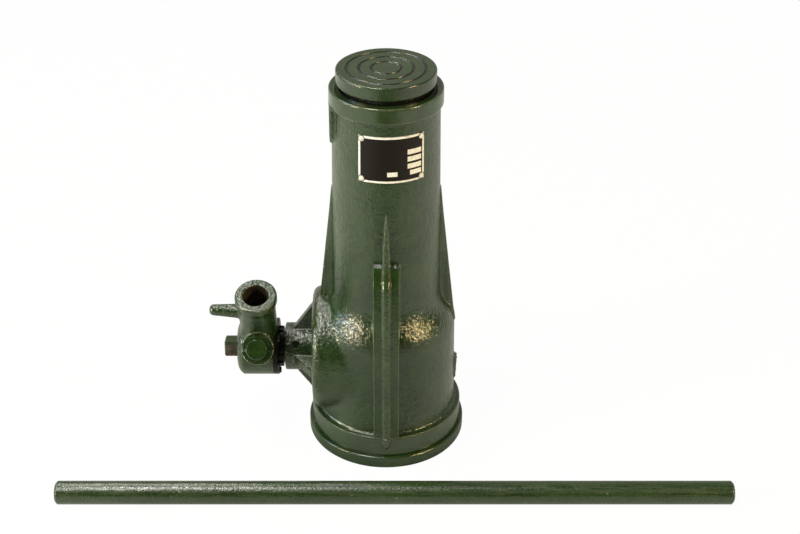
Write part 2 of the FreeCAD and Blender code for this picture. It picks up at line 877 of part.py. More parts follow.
# base plate: register for the housing, seat of the bearing and blind bore of the tail bush
register = cavityRadius - d.registerClear
raceSeat = raceOuter + d.raceClear
tailBore = d.tailRadius + d.tailClear
tailBushOuter = tailBore + d.tailBushWall
basePlate = body("base_plate")
turned(basePlate, [
    (0, 0),
    (baseRadius - d.edgeRound, 0, d.edgeRound),
    (baseRadius, d.edgeRound),
    (baseRadius, d.baseThick - d.edgeRound, d.edgeRound),
    (baseRadius - d.edgeRound, d.baseThick),
    (register, d.baseThick),
    (register, d.baseThick + d.registerHeight),
    (raceSeat, d.baseThick + d.registerHeight),
    (raceSeat, d.baseThick),
    (tailBushOuter + d.pressClear, d.baseThick),
    (tailBushOuter + d.pressClear, d.tailFloor),
    (0, d.tailFloor),
])
sinkHead = d.baseScrewHead + d.holeClear
sinkFoot = d.baseScrewRadius + d.holeClear
floorSpot = (screwSpot[0], screwSpot[1], 0)
plateHole = drill(basePlate, sinkFoot, d.baseThick, floorSpot)
plateSink = feature(basePlate, "SubtractiveCone", Radius1=sinkHead + d.baseScrewSink, Radius2=sinkFoot,
                    Height=sinkHead + d.baseScrewSink - sinkFoot)
place(plateSink, floorSpot)
polar(basePlate, [plateHole, plateSink], d.baseScrewCount)

# countersunk screws from below
screws = []
for index in range(int(d.baseScrewCount.number)):
    angle = d.baseScrewTurn + 360 / d.baseScrewCount * index
    screw = body("base_screw_%d" % (index + 1), keep=False)
    turned(screw, [
        (0, d.baseScrewSink),
        (d.baseScrewHead, d.baseScrewSink),
        (d.baseScrewRadius, d.baseScrewSink + d.baseScrewHead - d.baseScrewRadius),
        (d.baseScrewRadius, d.baseScrewLength),
        (0, d.baseScrewLength),
    ])
    place(screw, (screwCircle * cosine(angle), screwCircle * sine(angle), 0))
    screws.append(screw)
group("base_screws", screws)

# bush in the base plate for the tail of the lifting screw
tailBush = body("tail_bush")
turned(tailBush, [
    (tailBore, d.tailFloor),
    (tailBushOuter, d.tailFloor),
    (tailBushOuter, d.baseThick),
    (tailBore, d.baseThick),
])

# thrust bearing: two grooved races, a ring of balls and their cage
grooveRadius = d.ballRadius + d.ballClear
grooveHalf = root(grooveRadius * grooveRadius - d.raceGap * d.raceGap / 4)
raceFace = d.baseThick + d.raceThick
lowRace = body("bearing_race_lower")
turned(lowRace, [
    (lowRaceInner, d.baseThick),
    (raceOuter, d.baseThick),
    (raceOuter, raceFace),
    (ballCircle + grooveHalf, raceFace, -grooveRadius),
    (ballCircle - grooveHalf, raceFace),
    (lowRaceInner, raceFace),
])
topRace = body("bearing_race_upper")
turned(topRace, [
    (topRaceInner, raceFace + d.raceGap),
    (ballCircle - grooveHalf, raceFace + d.raceGap, -grooveRadius),
    (ballCircle + grooveHalf, raceFace + d.raceGap),
    (raceOuter, raceFace + d.raceGap),
    (raceOuter, gearSeat),
    (topRaceInner, gearSeat),
])
balls = []
for index in range(int(d.ballCount.number)):
    angle = 360 / d.ballCount * index
    ball = doc.addObject("Part::Sphere", "ball_%d" % (index + 1))
    ball.Radius = d.ballRadius.number
    ball.setExpression("Radius", d.ballRadius.text)
    place(ball, (ballCircle * cosine(angle), ballCircle * sine(angle), ballHeight))
    balls.append(ball)
group("bearing_balls", balls)
cage = body("ball_cage")
turned(cage, [
    (ballCircle - d.cageWidth / 2, ballHeight - d.cageThick / 2),
    (ballCircle + d.cageWidth / 2, ballHeight - d.cageThick / 2),
    (ballCircle + d.cageWidth / 2, ballHeight + d.cageThick / 2),
    (ballCircle - d.cageWidth / 2, ballHeight + d.cageThick / 2),
])
pocketSpot = (ballCircle, 0, ballHeight - d.cageThick)
ballPocket = drill(cage, d.ballRadius + d.pocketClear, d.cageThick * 2, pocketSpot)
polar(cage, [ballPocket], d.ballCount)

# lifting screw, plain at its pitch radius, with a collar on the gear and a tail through it
screwTop = saddleFoot - d.screwTopGap
collarFoot = gearHubTop
tailEnd = d.tailFloor + d.tailGap
liftingScrew = body("lifting_screw")
turned(liftingScrew, [
    (0, tailEnd),
    (d.tailRadius, tailEnd),
    (d.tailRadius, gearSeat - d.ringThick - d.ringClear * 2),
    (ringFloor, gearSeat - d.ringThick - d.ringClear * 2),
    (ringFloor, gearSeat),
    (d.tailRadius, gearSeat),
    (d.tailRadius, collarFoot),
    (screwCollarRadius, collarFoot),
    (screwCollarRadius, collarFoot + d.screwCollarHeight),
    (d.threadRadius, collarFoot + d.screwCollarHeight),
    (d.threadRadius, screwTop - d.screwChamfer),
    (d.threadRadius - d.screwChamfer, screwTop),
    (0, screwTop),
])
keyFoot = gearSeat + (d.gearHubHeight - d.gearKeyLength) / 2
keyIn = d.tailRadius - d.gearKeySink
slotRoom = d.gearKeyWidth + d.keyClear * 2
slotLength = d.gearKeyLength + d.keyClear * 2
keySlot = feature(liftingScrew, "SubtractiveBox", Length=d.gearKeyHeight, Width=slotRoom, Height=slotLength)
place(keySlot, (keyIn - d.keyClear, -d.gearKeyWidth / 2 - d.keyClear, keyFoot - d.keyClear))
gearKey = doc.addObject("Part::Box", "gear_key")
for name, size in (("Length", d.gearKeyHeight), ("Width", d.gearKeyWidth), ("Height", d.gearKeyLength)):
    setattr(gearKey, name, size.number)
    gearKey.setExpression(name, size.text)
place(gearKey, (keyIn, -d.gearKeyWidth / 2, keyFoot))
nodes.append(gearKey)
tailRing = body("tail_ring")
turned(tailRing, [
    (ringFloor + d.ringClear, gearSeat - d.ringThick - d.ringClear),
    (ringFloor + d.ringClear + d.ringWidth, gearSeat - d.ringThick - d.ringClear),
    (ringFloor + d.ringClear + d.ringWidth, gearSeat - d.ringClear),
    (ringFloor + d.ringClear, gearSeat - d.ringClear),
])

# large bevel gear on the tail of the screw, teeth up, its apex on the crossing of the two axes
gearFoot = gearSeat.number - shaftHeight.number
gearTop = gearHubTop.number - shaftHeight.number
gearBore = d.tailRadius.number + d.pressClear.number
rimRoot, rimInner = coneRoots(gearCone, pitchRadius.number, -shift)
rim = d.gearRim.number
rimBack = (rimRoot[0] - rim * math.cos(gearCone), rimRoot[1] - rim * math.sin(gearCone))
gearSolid = bevel(gearCone, pitchRadius.number, int(d.gearTeeth.number), -shift, [
    (gearBore, gearFoot),
    (gearHubRadius.number, gearFoot),
    (gearHubRadius.number, rimBack[1]),
    rimBack,
    rimRoot,
    rimInner,
    (rimInner[0], gearTop),
    (gearBore, gearTop),
])
keyway = Part.makeBox(
    d.gearKeyHeight.number + d.keyClear.number * 2,
    d.gearKeyWidth.number + d.keyClear.number * 2,
    d.gearHubHeight.number + past * 2,
    V(keyIn.number - d.keyClear.number, -d.gearKeyWidth.number / 2 - d.keyClear.number, gearFoot - past),
)
bevelGear = doc.addObject("Part::Feature", "bevel_gear")
bevelGear.Shape = gearSolid.cut(keyway)
place(bevelGear, axisPoint)
nodes.append(bevelGear)

# bevel pinion with its hub behind it, turned half a tooth so that a gap meets the gear below
pinionRoot, pinionInner = coneRoots(pinionCone, pitchDrop.number, shift)
pinionBore = d.pinionSeatRadius.number + d.pressClear.number
pinionSolid = bevel(pinionCone, pitchDrop.number, int(d.pinionTeeth.number), shift, [
    (pinionBore, -pinionBack.number),
    (d.pinionHubRadius.number, -pinionBack.number),
    (d.pinionHubRadius.number, pinionRoot[1]),
    pinionRoot,
    pinionInner,
    (pinionBore, pinionInner[1]),
])
pinionSolid.rotate(V(0, 0, 0), V(0, 0, 1), 180 / d.pinionTeeth.number)
pinAt = pinionBack - d.pinionPinInset
pinHole = Part.makeCylinder(
    d.pinionPinRadius.number + d.holeClear.number,
    d.pinionHubRadius.number * 4,
    V(0, -d.pinionHubRadius.number * 2, -pinAt.number),
    V(0, 1, 0),
)
bevelPinion = doc.addObject("Part::Feature", "bevel_pinion")
bevelPinion.Shape = pinionSolid.cut(pinHole)
place(bevelPinion, axisPoint, (0, 1, 0), 90)
nodes.append(bevelPinion)


def pin(name, radius, length, base, axis, turn):
    # plain cylindrical pin
    made = doc.addObject("Part::Cylinder", name)
    for label, size in (("Radius", radius), ("Height", length)):
        setattr(made, label, size.number)
        made.setExpression(label, size.text)
    place(made, base, axis, turn)
    nodes.append(made)
    return made


pinHalf = d.pinionHubRadius - d.pinShort
pin("pinion_pin", d.pinionPinRadius, pinHalf * 2, (-pinAt, pinHalf, shaftHeight), (1, 0, 0), 90)

# pinion shaft: seat of the pinion, journal in the bush and a long square end
shaftNose = lift(-pinionInner[1])
pinionShaft = body("pinion_shaft")
turned(pinionShaft, [
    (-shaftNose, 0),
    (-shaftNose, d.pinionSeatRadius),
    (-pinionBack, d.pinionSeatRadius),
    (-pinionBack, d.shaftRadius),
    (-wheelInner, d.shaftRadius),
    (-wheelInner, 0),
], about="H_Axis")


def square(owner, side, at, turn):
    # square on a plane across the shaft, turned to the shaft's own tilt
    half = side / 2
    drawing = sketch(owner, "YZ_Plane", (0, 0, at), (0, 0, 1), turn)
    return outline(drawing, [(-half, -half), (half, -half), (half, half), (-half, half)])


squareLength = squareEnd - wheelInner
pad(pinionShaft, square(pinionShaft, d.squareSide, -wheelInner, -d.squareTilt), squareLength, back=True)


def atSquareEnd(edge):
    return all(abs(vertex.Point.x + squareEnd.number) < 0.001 for vertex in edge.Vertexes)


dress(pinionShaft, "Chamfer", atSquareEnd, Size=d.squareChamfer)
pinSpot = (-pinAt, d.shaftRadius * 2, 0)
drill(pinionShaft, d.pinionPinRadius + d.holeClear, d.shaftRadius * 4, pinSpot, (1, 0, 0), 90)
wheelPinHalf = wheelRoot - d.pinShort
wheelPinSpot = (-wheelPinAt, -(wheelPinHalf * sine(d.squareTilt)), -(wheelPinHalf * cosine(d.squareTilt)))
wheelPinHole = d.wheelPinRadius + d.holeClear
drill(pinionShaft, wheelPinHole, wheelPinHalf * 2, wheelPinSpot, (1, 0, 0), -d.squareTilt)
place(pinionShaft, axisPoint)
wheelPinBase = (wheelPinSpot[0], wheelPinSpot[1], wheelPinSpot[2] + shaftHeight)
pin("wheel_pin", d.wheelPinRadius, wheelPinHalf * 2, wheelPinBase, (1, 0, 0), -d.squareTilt)

# bush of the shaft, held by a set screw through the boss
shaftBush = body("shaft_bush")
turned(shaftBush, [
    (-pinionBack - d.bushGap, d.shaftRadius + d.shaftClear),
    (-pinionBack - d.bushGap, bushRadius),
    (-bossEnd, bushRadius),
    (-bossEnd, d.shaftRadius + d.shaftClear),
], about="H_Axis")
drill(shaftBush, d.bushScrewRadius + d.holeClear, bossRadius, (-bushScrewAt, 0, 0), (1, 0, 0), setTurn)
place(shaftBush, axisPoint)
setFoot = bossRadius - d.bushScrewSink - d.bushScrewLength
setSpot = (-bushScrewAt, -(setFoot * sine(setTurn)), shaftHeight + setFoot * cosine(setTurn))
pin("bush_screw", d.bushScrewRadius, d.bushScrewLength, setSpot, (1, 0, 0), setTurn)

# ratchet wheel on the square: full teeth inside the head, lower ones on the rim that shows beside it
wheelOuter = headOuter - d.headWall - d.wheelEndGap
wheelMiddle = headInner + d.wheelEndGap
ratchetWheel = body("ratchet_wheel")
pad(ratchetWheel, circle(sketch(ratchetWheel, "YZ_Plane", (0, 0, -wheelInner)), 0, 0, wheelRoot),
    wheelOuter - wheelInner, back=True)
for tipRadius, begin, finish in (
    (d.wheelRadius, wheelMiddle, wheelOuter),
    (d.wheelRadius - d.wheelStep, wheelInner, wheelMiddle),
):
    crest = root(tipRadius * tipRadius - d.wheelToothTip * d.wheelToothTip / 4)
    profile = outline(sketch(ratchetWheel, "YZ_Plane", (0, 0, -begin), (0, 0, 1), pawlAngle), [
        (-d.wheelToothRoot / 2, wheelRoot - past),
        (d.wheelToothRoot / 2, wheelRoot - past),
        (d.wheelToothTip / 2, crest),
        (-d.wheelToothTip / 2, crest),
    ])
    tooth = pad(ratchetWheel, profile, finish - begin, back=True)
    polar(ratchetWheel, [tooth], d.wheelTeeth, "X_Axis")
pocket(ratchetWheel, square(ratchetWheel, d.squareSide + d.squareClear * 2, -wheelInner, -d.squareTilt),
       wheelOuter - wheelInner)
drill(ratchetWheel, wheelPinHole, wheelPinHalf * 2 + past * 2, wheelPinSpot, (1, 0, 0), -d.squareTilt)
place(ratchetWheel, axisPoint)

# rocker head: barrel, lever socket with its flared mouth, pawl boss and crank finger
rocker = body("rocker_arm")
turned(rocker, [
    (-headInner, 0),
    (-headInner, headRadius),
    (d.headShoulder - headOuter, headRadius, d.headBend),
    (-headOuter, headNose),
    (-headOuter, 0),
], about="H_Axis")
turned(rocker, [
    (0, 0),
    (socketRadius, 0),
    (socketRadius, socketReach - d.socketLipHeight - d.socketLipCone),
    (socketLip, socketReach - d.socketLipHeight),
    (socketLip, socketReach - d.edgeRound, d.edgeRound),
    (socketLip - d.edgeRound, socketReach),
    (0, socketReach),
], base=(-headCentre, 0, 0))
headSpot = (-headCentre, 0, 0)
stud(rocker, d.pawlBossRadius, pawlBossReach, headSpot, (1, 0, 0), d.pawlTilt)
finger = feature(rocker, "AdditiveCone", Radius1=d.fingerRootRadius, Radius2=d.fingerTipRadius,
                 Height=fingerTip - fingerRoot)
place(finger, (-fingerRoot, 0, fingerReach), (0, 1, 0), d.fingerRise - 90)
dress(rocker, "Fillet", lambda e: ring(e, d.fingerTipRadius), Radius=d.fingerTipRadius * 0.8)
wheelBore = headOuter - d.headWall - headInner
coverRoom = socketLip - headCentre + headInner
drill(rocker, headRadius + d.coverSeat, coverRoom, (socketLip - headCentre, 0, 0), (0, 1, 0), -90)
drill(rocker, d.wheelRadius + d.wheelClear, wheelBore + past, (past - headInner, 0, 0), (0, 1, 0), -90)
drill(rocker, noseHole, headOuter, (-headInner, 0, 0), (0, 1, 0), -90)
drill(rocker, socketBore, d.socketDepth + past, (-headCentre, 0, socketReach - d.socketDepth))
drill(rocker, d.pawlRadius + d.pawlClear, pawlBossReach - d.pawlFront, headSpot, (1, 0, 0), d.pawlTilt)
drill(rocker, d.stemRadius + d.pawlClear, pawlBossReach + past, headSpot, (1, 0, 0), d.pawlTilt)
slotFoot = pawlBossReach - d.slotDepth
knobSlot = feature(rocker, "SubtractiveBox", Length=d.pawlBossRadius * 2 + past * 2, Width=d.slotWidth,
                   Height=d.slotDepth + past)
place(knobSlot, (
    -headCentre - d.pawlBossRadius - past,
    -(d.slotWidth / 2 * cosine(d.pawlTilt)) - slotFoot * sine(d.pawlTilt),
    slotFoot * cosine(d.pawlTilt) - d.slotWidth / 2 * sine(d.pawlTilt),
), (1, 0, 0), d.pawlTilt)
coverHole = drill(rocker, d.coverScrewRadius + d.holeClear, d.coverScrewLength,
                  (-headInner, coverScrewCircle * sine(d.coverScrewTurn),
                   coverScrewCircle * cosine(d.coverScrewTurn)), (0, 1, 0), -90)
polar(rocker, [coverHole], d.coverScrewCount, "X_Axis")
place(rocker, axisPoint, (1, 0, 0), d.headTilt)

# cover ring that keeps the wheel in the head, and its screws
rockerCover = body("rocker_cover")
turned(rockerCover, [
    (-coverFace, d.wheelRadius - d.wheelStep + d.coverClear),
    (-coverFace, headRadius),
    (-headInner, headRadius),
    (-headInner, d.wheelRadius - d.wheelStep + d.coverClear),
], about="H_Axis")
ringHole = drill(rockerCover, d.coverScrewRadius + d.holeClear, d.coverThick * 2,
                 (d.coverThick - coverFace, coverScrewCircle * sine(d.coverScrewTurn),
                  coverScrewCircle * cosine(d.coverScrewTurn)), (0, 1, 0), -90)
polar(rockerCover, [ringHole], d.coverScrewCount, "X_Axis")
place(rockerCover, axisPoint, (1, 0, 0), d.headTilt)
screws = []
for index in range(int(d.coverScrewCount.number)):
    angle = d.headTilt - d.coverScrewTurn + 360 / d.coverScrewCount * index
    screw = body("cover_screw_%d" % (index + 1), keep=False)
    turned(screw, [
        (0, d.coverScrewRise),
        (0, -d.coverScrewLength + d.holeClear),
        (d.coverScrewRadius, -d.coverScrewLength + d.holeClear),
        (d.coverScrewRadius, 0),
        (d.coverScrewHead, 0),
        (d.coverScrewHead, d.coverScrewRise),
    ])
    place(screw, (
        -coverFace,
        -(coverScrewCircle * sine(angle)),
        shaftHeight + coverScrewCircle * cosine(angle),
    ), (0, 1, 0), 90)
    screws.append(screw)
group("cover_screws", screws)

# plunger pawl with one sloping flank, resting on the crest of a tooth, its knob with a cross rib that
# stays in the slot of the boss when the pawl drops into the next gap, their pin and the spring
pawlSpot = (-headCentre, 0, shaftHeight)
knobFoot = pawlBossReach + d.knobGap
stemTop = knobFoot + d.knobSocket - d.holeClear
plunger = body("pawl_plunger")
turned(plunger, [
    (0, pawlShoulder),
    (d.pawlRadius, pawlShoulder),
    (d.pawlRadius, pawlTop),
    (d.stemRadius, pawlTop),
    (d.stemRadius, stemTop),
    (0, stemTop),
])
wedge = outline(sketch(plunger, "YZ_Plane"), [
    (d.pawlTipHalf, pawlTip),
    (d.pawlTipHalf, pawlShoulder + past),
    (-d.pawlTipHalf - d.pawlTipSlope, pawlShoulder + past),
    (-d.pawlTipHalf, pawlTip),
])
pad(plunger, wedge, d.pawlRadius * 1.6, both=True)
knobPinAt = knobFoot + d.knobSocket / 2
knobPinHole = d.knobPinRadius + d.holeClear
drill(plunger, knobPinHole, d.knobRadius * 2, (-d.knobRadius, 0, knobPinAt), (0, 1, 0), 90)
place(plunger, pawlSpot, (1, 0, 0), pawlAngle)
knob = body("pawl_knob")
turned(knob, [
    (0, knobFoot),
    (d.knobRadius, knobFoot),
    (d.knobRadius, knobFoot + d.knobThick - d.knobChamfer),
    (d.knobRadius - d.knobChamfer, knobFoot + d.knobThick),
    (0, knobFoot + d.knobThick),
])
ribDrop = d.knobGap + d.slotDepth - d.wheelToothDepth - d.slotClear
knobRib = feature(knob, "AdditiveBox", Length=d.knobRadius * 2 - d.knobChamfer * 2,
                  Width=d.slotWidth - d.slotClear * 2, Height=ribDrop + past)
place(knobRib, (d.knobChamfer - d.knobRadius, d.slotClear - d.slotWidth / 2, knobFoot - ribDrop))
drill(knob, d.stemRadius + d.holeClear, ribDrop + d.knobSocket, (0, 0, knobFoot - ribDrop))
drill(knob, knobPinHole, d.knobRadius * 4, (-d.knobRadius * 2, 0, knobPinAt), (0, 1, 0), 90)
place(knob, pawlSpot, (1, 0, 0), pawlAngle)
pinReach = d.knobRadius - d.pinShort
pin("knob_pin", d.knobPinRadius, pinReach * 2, (
    -headCentre - pinReach,
    -(knobPinAt * sine(pawlAngle)),
    shaftHeight + knobPinAt * cosine(pawlAngle),
), (0, 1, 0), 90)
spring = body("pawl_spring")
springFoot = pawlTop + d.springClear + d.springWire / 2
springRise = pawlBossReach - d.pawlFront - d.springClear - d.springWire / 2 - springFoot
coil = circle(sketch(spring, "XZ_Plane"), d.springRadius, springFoot, d.springWire / 2)
helix = feature(spring, "AdditiveHelix", coil, Pitch=springRise / d.springTurns, Height=springRise)
helix.ReferenceAxis = (coil, ["V_Axis"])
helix.Mode = "pitch-height-angle"
place(spring, pawlSpot, (1, 0, 0), pawlAngle)

# lifting sleeve with nut seat, saddle seat and keyway
nutTop = sleeveFoot + d.nutLength
seatFoot = saddleFoot - d.spigotLength - d.spigotEndGap
snapHeight = saddleFoot - d.snapDrop
snapFloor = spigotRadius + d.snapDepth + d.snapClear
snapHalf = d.snapThick / 2 + d.snapClear / 2
sleeve = body("lifting_sleeve")
turned(sleeve, [
    (nutRadius + d.nutClear, sleeveFoot),
    (sleeveRadius - d.edgeRound, sleeveFoot),
    (sleeveRadius, sleeveFoot + d.edgeRound),
    (sleeveRadius, sleeveTop),
    (spigotRadius, sleeveTop),
    (spigotRadius, snapHeight + snapHalf),
    (snapFloor, snapHeight + snapHalf),
    (snapFloor, snapHeight - snapHalf),
    (spigotRadius, snapHeight - snapHalf),
    (spigotRadius, seatFoot),
    (sleeveBore, seatFoot),
    (sleeveBore, nutTop),
    (nutRadius + d.nutClear, nutTop),
])
keywayHalf = d.guideDogRadius + d.keywayClear
keywayEnd = d.guideDogRadius + d.keywaySpare
keywayCut = feature(sleeve, "SubtractiveBox", Length=d.keywayDepth + past, Width=keywayHalf * 2,
                    Height=d.lift + keywayEnd * 2)
place(keywayCut, (-sleeveRadius - past, -keywayHalf, guideHeight - d.lift - keywayEnd))
nutScrewAt = sleeveFoot + d.nutScrewHeight
nutScrewHole = d.nutScrewRadius + d.holeClear
nutScrewSpot = (0, sleeveRadius + past, nutScrewAt)
drill(sleeve, nutScrewHole, (sleeveRadius + past) * 2, nutScrewSpot, (1, 0, 0), 90)

# bronze nut in the foot of the sleeve, locked by two set screws
nut = body("lifting_nut")
turned(nut, [
    (d.threadRadius + d.threadClear, sleeveFoot),
    (nutRadius, sleeveFoot),
    (nutRadius, nutTop),
    (d.threadRadius + d.threadClear, nutTop),
])
nutScrewTop = sleeveRadius - d.pinShort
nutScrewFoot = nutScrewTop - d.nutScrewLength
screws = []
for side in (1, -1):
    blind = (0, side * (nutScrewFoot - d.holeClear), nutScrewAt)
    drill(nut, nutScrewHole, d.nutScrewLength, blind, (1, 0, 0), -90 * side)
    screw = doc.addObject("Part::Cylinder", "nut_screw_%d" % (len(screws) + 1))
    for label, size in (("Radius", d.nutScrewRadius), ("Height", d.nutScrewLength)):
        setattr(screw, label, size.number)
        screw.setExpression(label, size.text)
    place(screw, (0, side * nutScrewFoot, nutScrewAt), (1, 0, 0), -90 * side)
    screws.append(screw)
group("nut_screws", screws)

# saddle: grooved cap that swivels on a hollow spigot, kept by a snap ring
spigotOuter = spigotRadius - d.spigotClear
spigotFoot = saddleFoot - d.spigotLength
spigotGroove = spigotRadius - d.snapDepth - d.snapClear * 2
spigotHalf = d.snapThick / 2 + d.snapClear
grooveBend = (d.grooveWidth * d.grooveWidth / 4 + d.grooveDepth * d.grooveDepth) / (2 * d.grooveDepth)
rim = [
    (0, saddleFoot),
    (spigotBore, saddleFoot),
    (spigotBore, spigotFoot),
    (spigotOuter, spigotFoot),
    (spigotOuter, snapHeight - spigotHalf),
    (spigotGroove, snapHeight - spigotHalf),
    (spigotGroove, snapHeight + spigotHalf),
    (spigotOuter, snapHeight + spigotHalf),
    (spigotOuter, saddleFoot),
    (saddleRadius - d.edgeRound, saddleFoot, d.edgeRound),
    (saddleRadius, saddleFoot + d.edgeRound),
    (saddleRadius, saddleTop - d.edgeRound, d.edgeRound),
    (saddleRadius - d.edgeRound, saddleTop),
]
for step in (2, 1, 0):
    middle = d.grooveInner + d.groovePitch * step
    rim.append((middle + d.grooveWidth / 2, saddleTop, -grooveBend))
    rim.append((middle - d.grooveWidth / 2, saddleTop))
saddle = body("saddle")
turned(saddle, rim + [(0, saddleTop)])
snapRing = body("saddle_ring")
turned(snapRing, [
    (spigotRadius - d.snapDepth, snapHeight - d.snapThick / 2),
    (spigotRadius + d.snapDepth, snapHeight - d.snapThick / 2),
    (spigotRadius + d.snapDepth, snapHeight + d.snapThick / 2),
    (spigotRadius - d.snapDepth, snapHeight + d.snapThick / 2),
])
snapCut = feature(snapRing, "SubtractiveBox", Length=d.snapDepth * 6, Width=d.snapSplit,
                  Height=d.snapThick * 2)
place(snapCut, (spigotRadius - d.snapDepth * 3, -d.snapSplit / 2, snapHeight - d.snapThick))

# guide screw with a dog point in the keyway
guide = body("guide_screw")
turned(guide, [
    (0, sleeveRadius - d.guideDogReach),
    (d.guideDogRadius, sleeveRadius - d.guideDogReach),
    (d.guideDogRadius, boreRadius + d.pinShort),
    (d.guideRadius, boreRadius + d.pinShort),
    (d.guideRadius, keyPadFace - d.guideSink),
    (0, keyPadFace - d.guideSink),
])
place(guide, (0, 0, guideHeight), (0, 1, 0), -90)

# name plate bent round the neck, and its four rivets
namePlate = body("name_plate")
plateTop = plateFoot + d.plateHeight
plateSketch = outline(sketch(namePlate, "XZ_Plane"), [
    (neckAt(plateFoot) + d.plateClear, plateFoot),
    (neckAt(plateFoot) + d.plateClear + d.plateThick, plateFoot),
    (neckAt(plateTop) + d.plateClear + d.plateThick, plateTop),
    (neckAt(plateTop) + d.plateClear, plateTop),
])
bend = feature(namePlate, "Revolution", plateSketch, Angle=d.plateArc)
bend.ReferenceAxis = (plateSketch, ["V_Axis"])
bend.Midplane = True
rivets = []
for reach, height, angle in rivetSpots():
    local = angle - d.plateTurn + 90
    foot = reach - d.rivetLength
    spot = (foot * cosine(local), foot * sine(local), height)
    drill(namePlate, d.rivetShank + d.holeClear, d.rivetLength * 2, spot, across(local), 90)
    rivet = body("name_plate_rivet_%d" % (len(rivets) + 1), keep=False)
    turned(rivet, [
        (0, -d.rivetLength),
        (d.rivetShank, -d.rivetLength),
        (d.rivetShank, 0),
        (d.rivetHead, 0, (d.rivetHead * d.rivetHead + d.rivetRise * d.rivetRise) / (2 * d.rivetRise)),
        (0, d.rivetRise),
    ])
    place(rivet, (reach * cosine(angle), reach * sine(angle), height), across(angle), 90)
    rivets.append(rivet)
place(namePlate, (0, 0, 0), (0, 0, 1), d.plateTurn - 90)
group("name_plate_rivets", rivets)

# loose handle bar on the floor in front
bar = body("handle_bar")
turned(bar, [
    (-d.barLength / 2, 0),
    (-d.barLength / 2, d.barRadius - d.barChamfer),
    (d.barChamfer - d.barLength / 2, d.barRadius),
    (d.barLength / 2 - d.barChamfer, d.barRadius),
    (d.barLength / 2, d.barRadius - d.barChamfer),
    (d.barLength / 2, 0),
], about="H_Axis")
place(bar, (d.barShift, -barForward, d.barRadius))

doc.recompute()
faults = []
for item in doc.Objects:
    if "Invalid" in item.State or "Error" in item.State:
        faults.append(item.Label)
for node in nodes:
    if node.Shape.isNull() or not node.Shape.isValid() or not node.Shape.Solids:
        faults.append(node.Label)
if faults:
    raise RuntimeError("these did not build: " + ", ".join(faults))

os.makedirs("parts", exist_ok=True)
for node in nodes:
    node.Shape.exportStep("parts/%s.step" % node.Label)
    print("%-20s %d solid(s) %10.1f mm3" % (node.Label, len(node.Shape.Solids), node.Shape.Volume))
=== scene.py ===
import math

import bmesh
import bpy
import numpy as np
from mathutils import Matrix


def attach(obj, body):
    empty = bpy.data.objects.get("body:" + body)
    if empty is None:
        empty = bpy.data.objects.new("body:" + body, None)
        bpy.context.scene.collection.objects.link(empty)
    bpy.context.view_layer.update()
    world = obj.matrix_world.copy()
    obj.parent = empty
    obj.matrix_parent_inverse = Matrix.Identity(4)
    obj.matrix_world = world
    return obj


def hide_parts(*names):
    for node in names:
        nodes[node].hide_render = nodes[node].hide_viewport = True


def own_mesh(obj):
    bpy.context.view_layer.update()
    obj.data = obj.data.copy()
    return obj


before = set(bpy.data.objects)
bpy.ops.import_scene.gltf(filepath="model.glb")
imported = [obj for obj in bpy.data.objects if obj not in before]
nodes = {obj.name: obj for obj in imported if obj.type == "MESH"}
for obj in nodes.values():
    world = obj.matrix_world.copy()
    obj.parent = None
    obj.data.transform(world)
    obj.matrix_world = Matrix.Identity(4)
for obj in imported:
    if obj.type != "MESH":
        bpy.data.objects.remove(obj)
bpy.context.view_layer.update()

scene = bpy.context.scene
scene.view_settings.view_transform = "Standard"
print("frame loaded:", len(nodes), "nodes")


class Wire:  # one value in a shader; arithmetic on it adds Math nodes
    def __init__(self, tree, socket):
        self.tree = tree
        self.socket = socket

    def math(self, operation, *parts):
        node = self.tree.nodes.new("ShaderNodeMath")
        node.operation = operation
        for slot, part in zip(node.inputs, parts):
            if isinstance(part, Wire):
                self.tree.links.new(part.socket, slot)
            else:
                slot.default_value = part
        return Wire(self.tree, node.outputs[0])

    def __add__(self, other):
        return self.math("ADD", self, other)

    def __radd__(self, other):
        return self.math("ADD", other, self)

    def __sub__(self, other):
        return self.math("SUBTRACT", self, other)

    def __rsub__(self, other):
        return self.math("SUBTRACT", other, self)

    def __mul__(self, other):
        return self.math("MULTIPLY", self, other)

    def __rmul__(self, other):
        return self.math("MULTIPLY", other, self)

    def __neg__(self):
        return self.math("MULTIPLY", self, -1.0)

    def __pow__(self, other):
        return self.math("POWER", self, other)

    def __abs__(self):
        return self.math("ABSOLUTE", self)

    def root(self):
        return self.math("SQRT", self)

    def most(self, other):
        return self.math("MAXIMUM", self, other)

    def angle(self, other):  # angle whose tangent is this value over the other
        return self.math("ARCTAN2", self, other)


